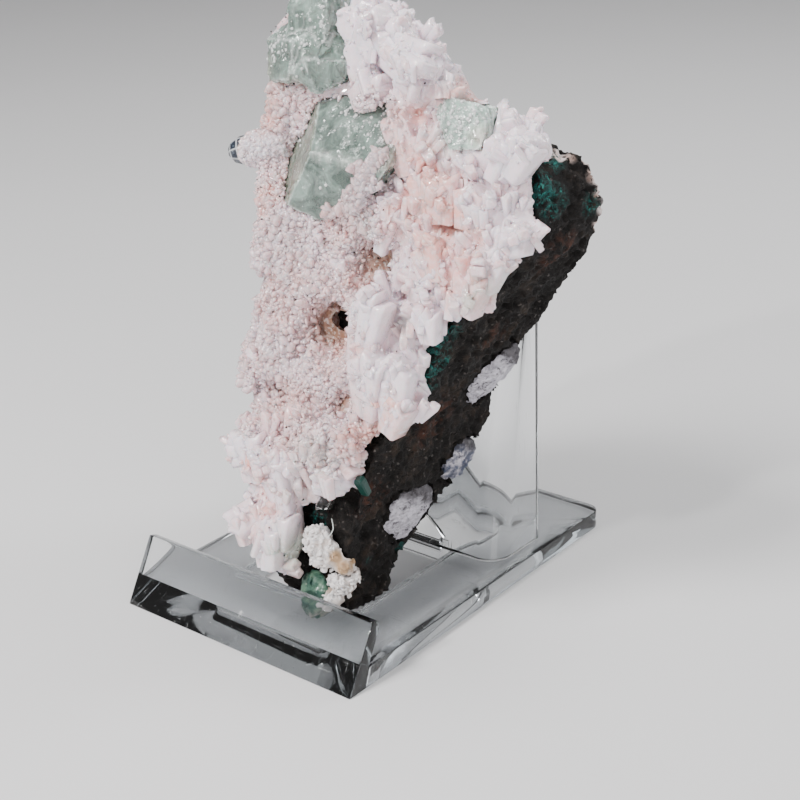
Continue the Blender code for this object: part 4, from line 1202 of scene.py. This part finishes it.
class SPECIMEN_OT_crust(bpy.types.Operator):
    """Crust of stilbite blades, small laths and sugary crystals, grown together."""

    bl_idname = "specimen.crust"
    bl_label = "Crystal crust"

    def execute(self, context):
        settings = context.scene.specimen_crust
        self.trees = solid_trees("apophyllite_upper", "apophyllite_middle", "apophyllite_side",
                                 "clear_rod_crystal")
        bed = self.bed(settings)
        self.blades(settings)
        self.small_sheaves(settings, bed)
        self.grains(settings, bed)
        self.sugar(settings, bed)
        self.specks(settings, bed)
        return {"FINISHED"}

    def bed(self, settings):
        """The crust's body: the solid's shape with clusters, columns and facets all over it."""
        piece, spots, normals = even_copy("crystal_crust", "crust_bed", settings.grain)
        turned = along_face(spots, 2.2)
        bent = spots + 1.6 * wander(spots, 5.0, 33)
        sugar = (4.2 * lumps(bent, 9.5, 40) + 1.1 * lumps(bent, 4.2, 45)
                 + 0.28 * facets(spots, 1.8, 60) - 2.8)
        blade = (0.85 * facets(turned, 4.6, 50, 1.9) + 0.42 * facets(turned, 2.1, 55, 1.8)
                 + 0.10 * cloud(spots, 1.4, 70) - 0.35)
        share = bladed(spots)
        relief = np.clip(sugar * (1 - share) + blade * share, -3.0, 0.9)
        relief = relief - 1.6 * upper_left(spots) - 2.2 * near_face_spots(spots, HOLLOWS)
        gap = np.array([min(tree.find_nearest(spot, 4)[3] or 4.0 for tree in self.trees)
                        for spot in spots])
        snug = np.clip(1.25 - gap / 2.4, 0, 1)
        relief = relief * (1 - snug) + 0.25 * snug
        pushed_out(piece, normals, relief, crease=34)
        mesh = piece.data
        mesh.materials.append(crust_material(settings, "stilbite_crust", 0.38))
        paint_crust(mesh)
        rock = solid_trees("basalt")[0]
        away = np.array([rock.find_nearest(spot, 4)[3] or 4.0 for spot in spots])
        ragged = 1 + 0.8 * cloud(spots, 1.8, 37)
        carry(mesh, "contact", np.clip((1.25 - away) * ragged, 0, 1))
        claim(piece, "stilbite_crust", "crystal_crust")
        return piece

    def blades(self, settings):
        """The larger blades, each a sheaf of laths."""
        random = np.random.default_rng(21)
        sheaves = []
        for foot_x, foot_z, lean, length, width, thick, tilt, tone in BLADES:
            lean, tilt = math.radians(lean), math.radians(tilt)
            flat = FACE_UP * math.cos(lean) + FACE_RIGHT * math.sin(lean)
            along = (flat * math.cos(tilt) + FACE_OUT * math.sin(tilt)).normalized()
            wide = along.cross(FACE_OUT).normalized()
            out = wide.cross(along).normalized()
            if out.dot(FACE_OUT) < 0:
                out.negate()
            foot = Vector((foot_x, face_y(foot_x, foot_z) - 1.5, foot_z))
            sheaves.append((foot + out * 0.5, along, wide, out, length * 1.05, width * 1.05,
                            thick * 1.10, tone))
        laths("stilbite_blades", sheaves, crust_material(settings, "stilbite_blade", 0.26),
              random, breadth=3.6, trees=self.trees)

    def small_sheaves(self, settings, bed):
        """Small sheaves that stand between the blades and fill the smooth zones."""
        def keep(spots, normals):
            return (np.clip(facing(normals) - 0.2, 0, 1) * (0.05 + bladed(spots))
                    * (1 - upper_left(spots)) * (1 - near_face_spots(spots, HOLLOWS)))

        spots, normals, random = sampled(bed, settings.plate_count, 41, keep)
        kept = clear_of(spots, self.trees, 1.6)
        sheaves = []
        for spot, normal in zip(spots[kept], normals[kept]):
            rise = 0.5 + 0.9 * random.random()
            along = (Vector(normal) * 0.75 + FACE_UP * rise
                     + Vector(random.normal(0, 0.40, 3))).normalized()
            wide = along.cross(Vector(normal) + Vector(random.normal(0, 0.5, 3))).normalized()
            out = wide.cross(along).normalized()
            width = 2.0 + 3.2 * random.random() ** 1.7
            length = width * (0.8 + 0.8 * random.random())
            foot = Vector(spot) - along * 0.35 * length
            sheaves.append((foot, along, wide, out, length * 1.25, width,
                            width * (0.45 + 0.35 * random.random()), random.choice((0, 1, 2, 3))))
        laths("small_sheaves", sheaves, crust_material(settings, "small_sheaves", 0.20),
              random, breadth=2.0, trees=self.trees)

    def sugar(self, settings, bed):
        """Small blocky crystals strewn over the crust, finest and densest on the left."""
        def keep(spots, normals):
            return (front_weight(spots, normals) * (1 - 0.95 * bladed(spots))
                    * (1 - upper_left(spots)) * (1 - 0.9 * near_face_spots(spots, HOLLOWS)))

        paint_crust(strewn(
            "sugary_crystals", bed, settings.sugar_count, 31, keep, "stilbite_crust",
            crust_material(settings, "sugary_crystals", 0.08), sizes=(0.28, 0.72, 2.2),
            lengths=(1.3, 1.5), sides=4, point=0.5, scatter=0.55, flat=0.7,
            trees=self.trees, gap=0.2))

    def grains(self, settings, bed):
        """Larger glassy crystals that stand in clusters among the sugar and in the hollows."""
        def keep(spots, normals):
            clusters = np.clip(cloud(spots, 5.5, 17) + 0.25, 0, 1)
            shaded_hollow = near_face_spots(spots, HOLLOWS)
            return (front_weight(spots, normals) * (1 - bladed(spots))
                    * (1 - upper_left(spots)) * (clusters + 0.1) * (1 - 0.7 * shaded_hollow))

        paint_crust(strewn(
            "glassy_grains", bed, settings.grain_count, 35, keep, "stilbite_crust",
            crust_material(settings, "glassy_grains", 0.07, veil=0.24), sizes=(0.65, 1.05, 1.8),
            lengths=(1.0, 0.9), sides=6, point=0.35, scatter=0.55, flat=0.7, cut=0.45,
            trees=self.trees, gap=1.2))

    def specks(self, settings, bed):
        """Tiny dark crystals dotted over the crust."""
        def keep(spots, normals):
            return front_weight(spots, normals) * (1.15 - bladed(spots))

        strewn("dark_specks", bed, settings.speck_count, 51, keep, "stilbite_crust",
               plain_material("dark_specks", (0.030, 0.018, 0.014), 0.4),
               sizes=(0.14, 0.20, 2), lengths=(1.6, 0), sides=4, point=0.6, lift=0.45)


def sharp_edges(node, least):
    """A solid's edges that bend by more than an angle in degrees: start and end in mm."""
    bm = bmesh.new()
    bm.from_mesh(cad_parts[node].data)
    bmesh.ops.remove_doubles(bm, verts=bm.verts, dist=WELD)
    ends = [[tuple(v.co) for v in edge.verts] for edge in bm.edges
            if len(edge.link_faces) == 2 and edge.calc_face_angle() > math.radians(least)]
    bm.free()
    ends = np.array(ends)
    return in_mm(ends[:, 0]), in_mm(ends[:, 1])


def edge_distance(spots, edges):
    """How far each place is from the nearest of some edges."""
    nearest = np.full(len(spots), 1e9)
    for start, end in zip(*edges):
        span = end - start
        share = np.clip((spots - start) @ span / (span @ span), 0, 1)
        away = np.linalg.norm(spots - start - share[:, None] * span, axis=1)
        nearest = np.minimum(nearest, away)
    return nearest


def grown_crystal(node, name, broad, fine, material, warm, dark):
    """A green crystal: the solid's flat faces with growth steps, chips and serrated edges."""
    piece, spots, normals = even_copy(node, name, 0.00042)
    away = edge_distance(spots, sharp_edges(node, 24))
    chips = np.clip(1 - away / 1.1, 0, 1) * (0.55 * (facets(spots, 1.7, 92) + 0.45))
    height = broad * facets(spots, 6.5, 91, 1.9) + fine * facets(spots, 2.0, 95) - chips
    pushed_out(piece, normals, np.minimum(height - 0.12, 0.25), crease=30)
    mesh = piece.data
    mesh.materials.append(material)
    carry(mesh, "edge", np.clip(1.15 - away / 0.75, 0, 1) * (0.6 + 0.4 * cloud(spots, 2.5, 99)))
    carry(mesh, "warm", near_spots(spots, warm))
    # painted shade on the faces that point towards the given direction
    carry(mesh, "side", np.clip((normals @ np.array(dark) - 0.87) * 12, 0, 1))
    ragged = 1 + 0.7 * cloud(spots, 1.3, 98)
    carry(mesh, "pale", np.clip(near_spots(spots, PALE_MARKS) * 2.2 * ragged - 0.5, 0, 1))
    return piece


class SPECIMEN_OT_apophyllite(bpy.types.Operator):
    """Green apophyllite crystals and the clear rod."""

    bl_idname = "specimen.apophyllite"
    bl_label = "Green crystals"

    def execute(self, context):
        settings = context.scene.specimen_apophyllite
        for node, name, broad, fine, milk, tone, streak, warm, dark, dots in GREEN_CRYSTALS:
            material = green_material(settings, name, milk, tone, streak)
            piece = grown_crystal(node, name, broad, fine, material, warm, dark)
            claim(piece, "green_apophyllite", node)
            self.frost(settings, piece, name, dots)
            self.veils(node, name)
            if node == "apophyllite_middle":
                self.overgrowth(context.scene.specimen_crust, piece)
        self.rod(context)
        return {"FINISHED"}

    def frost(self, settings, piece, name, dots):
        """Tiny crystals that sit on a green crystal's faces."""
        def keep(spots, normals):
            return np.clip(facing(normals) + 0.1, 0, 1) * (0.04 + near_spots(spots, dots))

        strewn("frost_" + name, piece, settings.frost_count, 61, keep, "clear_crystal",
               plain_material("frost_" + name, (0.82, 0.84, 0.83), 0.22),
               sizes=(0.14, 0.50, 2.6), lengths=(0.8, 0), sides=5, point=0.5)

    def overgrowth(self, settings, piece):
        """Glassy stilbite that has grown over the middle crystal's lower right corner."""
        def keep(spots, normals):
            return np.clip(facing(normals), 0, 1) * near_spots(spots, OVERGROWN)

        paint_crust(strewn(
            "overgrowth", piece, 420, 67, keep, "stilbite_crust",
            crust_material(settings, "overgrowth", 0.07, veil=0.26), sizes=(0.45, 1.15, 1.8),
            lengths=(1.0, 1.1), sides=6, point=0.3, scatter=0.5, upright=(0.6, 0.5),
            flat=0.6, cut=0.5))

    def veils(self, node, name, corners=9, most=26):
        """Thin milky cracks inside a green crystal that catch the light."""
        tree = solid_trees(node)[0]
        spots = in_mm(points_of(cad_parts[node].data))
        low, high = spots.min(axis=0), spots.max(axis=0)
        random = np.random.default_rng(73)
        planes = [FACE_OUT, (FACE_UP + 0.4 * FACE_OUT).normalized(),
                  (FACE_RIGHT - 0.5 * FACE_OUT + 0.3 * FACE_UP).normalized()]
        points, faces = [], []
        for _ in range(400):
            spot = Vector(low + (high - low) * random.random(3))
            near, normal, _, distance = tree.find_nearest(spot)
            if (spot - near).dot(normal) > 0 or distance < 0.9 or len(faces) > most:
                continue
            plane = (planes[random.integers(3)] + Vector(random.normal(0, 0.22, 3))).normalized()
            side = plane.orthogonal().normalized()
            other = plane.cross(side)
            reach = min(distance - 0.35, 4.2)
            start = len(points)
            for k in range(corners):
                angle = 2 * math.pi * (k + 0.6 * random.random()) / corners
                radius = reach * (0.45 + 0.5 * random.random())
                points.append(spot + side * math.cos(angle) * radius
                              + other * math.sin(angle) * radius
                              + plane * random.normal(0, 0.10))
            faces.append(tuple(range(start, start + corners)))
        made = new_object("veils_" + name, points, faces,
                          veil_material("veils_" + name))
        claim(made, "green_apophyllite")

    def rod(self, context):
        """The clear rod: a glassy prism with a sugary coat and a bare cut end."""
        piece, spots, _ = even_copy("clear_rod_crystal", "clear_rod", 0.0003)
        away = edge_distance(spots, sharp_edges("clear_rod_crystal", 20))
        carry(piece.data, "edge", np.clip(1.1 - away / 0.32, 0, 1))
        piece.data.materials.append(dark_glass("clear_rod"))
        piece.data.shade_smooth()
        piece.data.set_sharp_from_angle(angle=math.radians(30))
        claim(piece, "clear_crystal", "clear_rod_crystal")

        def keep(spots, normals):
            return np.clip((spots[:, 0] - 24.0) / 1.2, 0, 1)

        coat = strewn("rod_coat", piece, 1500, 71, keep, "clear_crystal",
                      crust_material(context.scene.specimen_crust, "rod_coat", 0.10),
                      sizes=(0.40, 0.75, 2.0), lengths=(1.0, 0), sides=5, point=0.5,
                      scatter=0.5, cut=0.5)
        paint_crust(coat, extra_white=0.35)


def lumpy(node, name, spacing, relief, size, salt, inward=0.0):
    """A mineral lump with its solid's shape and a rough broken surface."""
    piece, spots, normals = even_copy(node, name, spacing)
    height = relief * (0.5 * facets(spots, size, salt) + 0.4 * clouds(spots, size, 3, salt + 5))
    pushed_out(piece, normals, height - inward, crease=40)
    return piece, spots, normals


class SPECIMEN_OT_minerals(bpy.types.Operator):
    """Fills in the rock's side and knobs at its foot."""

    bl_idname = "specimen.minerals"
    bl_label = "Fills and knobs"

    def execute(self, context):
        settings = context.scene.specimen_minerals
        pale = tuple(settings.pale)
        for node, turn, blue in (("fill_long", (0.9, 0, 0.6), 0.1),
                                 ("fill_blue", (0.6, 0, 0.4), 0.95),
                                 ("fill_broad", (0.5, 0, 0.9), 0.0)):
            piece, spots, _ = lumpy(node, "mineral_" + node, 0.00045, 0.9, 1.8, 110)
            middle = spots.mean(axis=0)
            away = np.linalg.norm((spots - middle) / (np.ptp(spots, axis=0) / 2), axis=1)
            carry(piece.data, "rim", np.clip((away - 0.98) * 5 + 0.4 * cloud(spots, 1.6, 3), 0, 1))
            piece.data.materials.append(fill_material("mineral_" + node, pale, turn, blue))
            claim(piece, "pale_fill", node)
        knob = tuple(settings.knob)
        for node, side_colour in (("knob_white", (0.42, 0.27, 0.15)),
                                  ("knob_bladed", (0.50, 0.40, 0.33))):
            piece, spots, normals = lumpy(node, "mineral_" + node, 0.0004, 0.9, 2.4, 130, 0.45)
            # painted shade by facing: right side and underside; the tan spots are real stains
            side = np.clip(normals[:, 0] * 1.3 - 0.75 - 0.5 * normals[:, 2], 0, 1)
            side = np.maximum(side, near_spots(spots, TAN_SPOTS) * 1.4)
            carry(piece.data, "side", np.clip(side, 0, 1))
            carry(piece.data, "rim", np.clip(cloud(spots, 1.4, 7) * 1.4 - 0.6, 0, 1))
            piece.data.materials.append(knob_material("mineral_" + node, knob, side_colour))
            claim(piece, "white_knob", node)
            self.plates(piece, node, knob, side_colour)
        green = "mineral_knob_green"
        piece, _, _ = lumpy("knob_green", green, 0.0004, 0.95, 3.2, 150, 0.3)
        piece.data.materials.append(green_knob_material(green))
        claim(piece, "green_knob", "knob_green")
        self.chips()
        self.thread()
        return {"FINISHED"}

    def chips(self):
        """Two glassy crystals at the crust's lower edge: a dark green and a clear one."""
        for name, foot, along, length, width, thick, colour, slot, body, share in (
                ("green_chip", (75.0, 26.4, 48.6), (0.10, -0.60, 1), 6.2, 3.2, 2.6,
                 (0.035, 0.15, 0.12), "green_knob", (0.008, 0.045, 0.036), 1.0),
                ("clear_chip", (64.5, 23.0, 45.6), (-0.15, -0.55, -0.8), 4.8, 4.0, 2.6,
                 (0.82, 0.86, 0.85), "clear_crystal", (0.80, 0.78, 0.79), 0.0)):
            along = Vector(along).normalized()
            wide = along.cross(FACE_OUT).normalized()
            points, faces = lath_shape(Vector(foot), along, wide, wide.cross(along), length, width,
                                       thick, 0.3, 0.5)
            made = new_object(name, points, faces,
                              glass_material(name, colour, body, share))
            claim(made, slot)

    def thread(self):
        """The thin pale thread that curls over the white knob."""
        route = [Vector(p) for p in ((67.4, 18.6, 35.4), (68.6, 18.4, 36.6), (68.9, 19.2, 38.0),
                                     (68.0, 20.0, 39.2), (66.6, 21.2, 39.6))]
        points, faces = [], []
        for index, spot in enumerate(route):
            ahead = (route[min(index + 1, 4)] - route[max(index - 1, 0)]).normalized()
            side = ahead.cross(FACE_OUT).normalized()
            other = ahead.cross(side)
            for k in range(6):
                angle = math.pi * k / 3
                points.append(spot + (side * math.cos(angle) + other * math.sin(angle)) * 0.16)
            if index:
                start = 6 * (index - 1)
                faces += [(start + k, start + (k + 1) % 6, start + 6 + (k + 1) % 6, start + 6 + k)
                          for k in range(6)]
        made = new_object("thin_thread", points, faces,
                          plain_material("thin_thread", (0.75, 0.80, 0.76), 0.3), smooth=True)
        claim(made, "white_knob")

    def plates(self, knob, node, colour, side_colour):
        """Short blades that fan out of a white knob."""
        def keep(spots, normals):
            fresh = np.clip(-normals[:, 1] * 0.8 - normals[:, 0] * 0.5 + 0.3, 0, 1)
            return fresh * (near_spots(spots, TAN_SPOTS) < 0.3)

        mesh = strewn("plates_" + node, knob, 160, 81, keep, "white_knob",
                      knob_material("plates_" + node, colour, side_colour),
                      sizes=(0.45, 0.7, 1.5), lengths=(1.5, 0), sides=6, point=0.3,
                      scatter=0.35, flat=0.4)
        for name in ("side", "rim"):
            carry(mesh, name, np.zeros(len(mesh.vertices)))


class SPECIMEN_OT_stage(bpy.types.Operator):
    """Pale floor, soft studio light and the photograph's camera."""

    bl_idname = "specimen.stage"
    bl_label = "Stage"

    def execute(self, context):
        settings = context.scene.specimen_stage
        self.floor(settings)
        self.lights(settings)
        self.camera(context, settings)
        return {"FINISHED"}

    def floor(self, settings):
        """A floor that curves up into a wall behind, turned to face the camera."""
        r = Recipe("pale_floor")
        colour = tuple(settings.floor_colour)
        tint = r.mix(r.noise(0.15, 3, 0.5), darker(0.97, colour), colour)
        material = r.finish(r.surface(Base_Color=tint, Roughness=0.55))
        half, back, bend, top = 3.0, 1.5, 0.7, 3.4
        profile = [(-half, 0.0), (back, 0.0)]
        for k in range(1, 13):
            angle = math.radians(7.5 * k)
            profile.append((back + bend * math.sin(angle), bend * (1 - math.cos(angle))))
        profile.append((back + bend, top))
        turn = Matrix.Rotation(math.radians(CAMERA_TURN), 3, "Z")
        points = [turn @ Vector((x, y, z - 0.00002)) for y, z in profile for x in (-half, half)]
        faces = [(2 * k, 2 * k + 1, 2 * k + 3, 2 * k + 2) for k in range(len(profile) - 1)]
        mesh = bpy.data.meshes.new("floor")
        mesh.from_pydata(points, [], faces)
        linked("floor", mesh, material, smooth=True)

    def lights(self, settings):
        """A soft studio: a large light above on the left, and four weaker ones."""
        world = bpy.data.worlds.new("studio")
        bpy.context.scene.world = world
        world.use_nodes = True
        backdrop = world.node_tree.nodes["Background"]
        backdrop.inputs["Color"].default_value = (0.91, 0.905, 0.91, 1)
        backdrop.inputs["Strength"].default_value = 0.37
        aim = place(58, 45, 90)
        power = settings.key_power
        for name, spot, size, share, tint in (
                ("key", (-0.24, -0.78, 1.05), 0.32, 1.20, (1.0, 0.98, 0.97)),
                ("fill", (0.95, -0.65, 0.45), 0.70, 0.36, (1.0, 0.975, 0.96)),
                ("top", (0.15, 0.25, 1.15), 0.60, 0.55, (1.0, 0.99, 0.97)),
                ("spark", (-0.10, -0.85, 0.55), 0.05, 0.32, (1.0, 0.99, 0.97)),
                ("rim", (0.55, 0.85, 0.55), 0.40, 0.34, (0.95, 0.97, 1.0))):
            lamp = bpy.data.lights.new(name, "AREA")
            lamp.shape = "SQUARE"
            lamp.size = size
            lamp.energy = power * share
            lamp.color = tint
            made = bpy.data.objects.new(name, lamp)
            bpy.context.scene.collection.objects.link(made)
            made.location = Vector(spot)
            made.rotation_euler = (aim - made.location).to_track_quat("-Z", "Y").to_euler()

    def camera(self, context, settings):
        """The photograph's camera."""
        yaw, pitch, roll = (math.radians(v) for v in (CAMERA_TURN, CAMERA_TILT, CAMERA_ROLL))
        forward = Vector((-math.sin(yaw) * math.cos(pitch), math.cos(yaw) * math.cos(pitch),
                          -math.sin(pitch)))
        right = forward.cross(UP).normalized()
        up = right.cross(forward)
        right, up = (math.cos(roll) * right + math.sin(roll) * up,
                     -math.sin(roll) * right + math.cos(roll) * up)
        lens = bpy.data.cameras.new("camera")
        lens.sensor_width = 36
        lens.lens = settings.lens
        lens.clip_start = 0.01
        made = bpy.data.objects.new("camera", lens)
        context.scene.collection.objects.link(made)
        view = Matrix((right, up, -forward)).transposed().to_4x4()
        view.translation = place(*CAMERA_PLACE)
        made.matrix_world = view
        context.scene.camera = made


class SPECIMEN_PT_panel(bpy.types.Panel):
    """Lists the pieces of the specimen and their settings."""

    bl_idname = "SPECIMEN_PT_panel"
    bl_label = "Apophyllite specimen"
    bl_space_type = "VIEW_3D"
    bl_region_type = "UI"
    bl_category = "Specimen"

    def draw(self, context):
        for operator, group in STEPS:
            box = self.layout.box()
            box.operator(operator.bl_idname)
            settings = getattr(context.scene, group)
            for name in settings.__annotations__:
                box.prop(settings, name)


STEPS = (
    (SPECIMEN_OT_easel, "specimen_easel"),
    (SPECIMEN_OT_basalt, "specimen_basalt"),
    (SPECIMEN_OT_crust, "specimen_crust"),
    (SPECIMEN_OT_apophyllite, "specimen_apophyllite"),
    (SPECIMEN_OT_minerals, "specimen_minerals"),
    (SPECIMEN_OT_stage, "specimen_stage"),
)
GROUPS = {
    "specimen_easel": EaselSettings,
    "specimen_basalt": BasaltSettings,
    "specimen_crust": CrustSettings,
    "specimen_apophyllite": ApophylliteSettings,
    "specimen_minerals": MineralSettings,
    "specimen_stage": StageSettings,
}
CLASSES = (*GROUPS.values(), *(operator for operator, _ in STEPS), SPECIMEN_PT_panel)


def register():
    for item in CLASSES:
        bpy.utils.register_class(item)
    for name, group in GROUPS.items():
        setattr(bpy.types.Scene, name, PointerProperty(type=group))


def unregister():
    for name in GROUPS:
        delattr(bpy.types.Scene, name)
    for item in reversed(CLASSES):
        bpy.utils.unregister_class(item)


def main():
    register()
    for operator, _ in STEPS:
        group, name = operator.bl_idname.split(".")
        getattr(getattr(bpy.ops, group), name)()


if __name__ == "__main__":
    main()
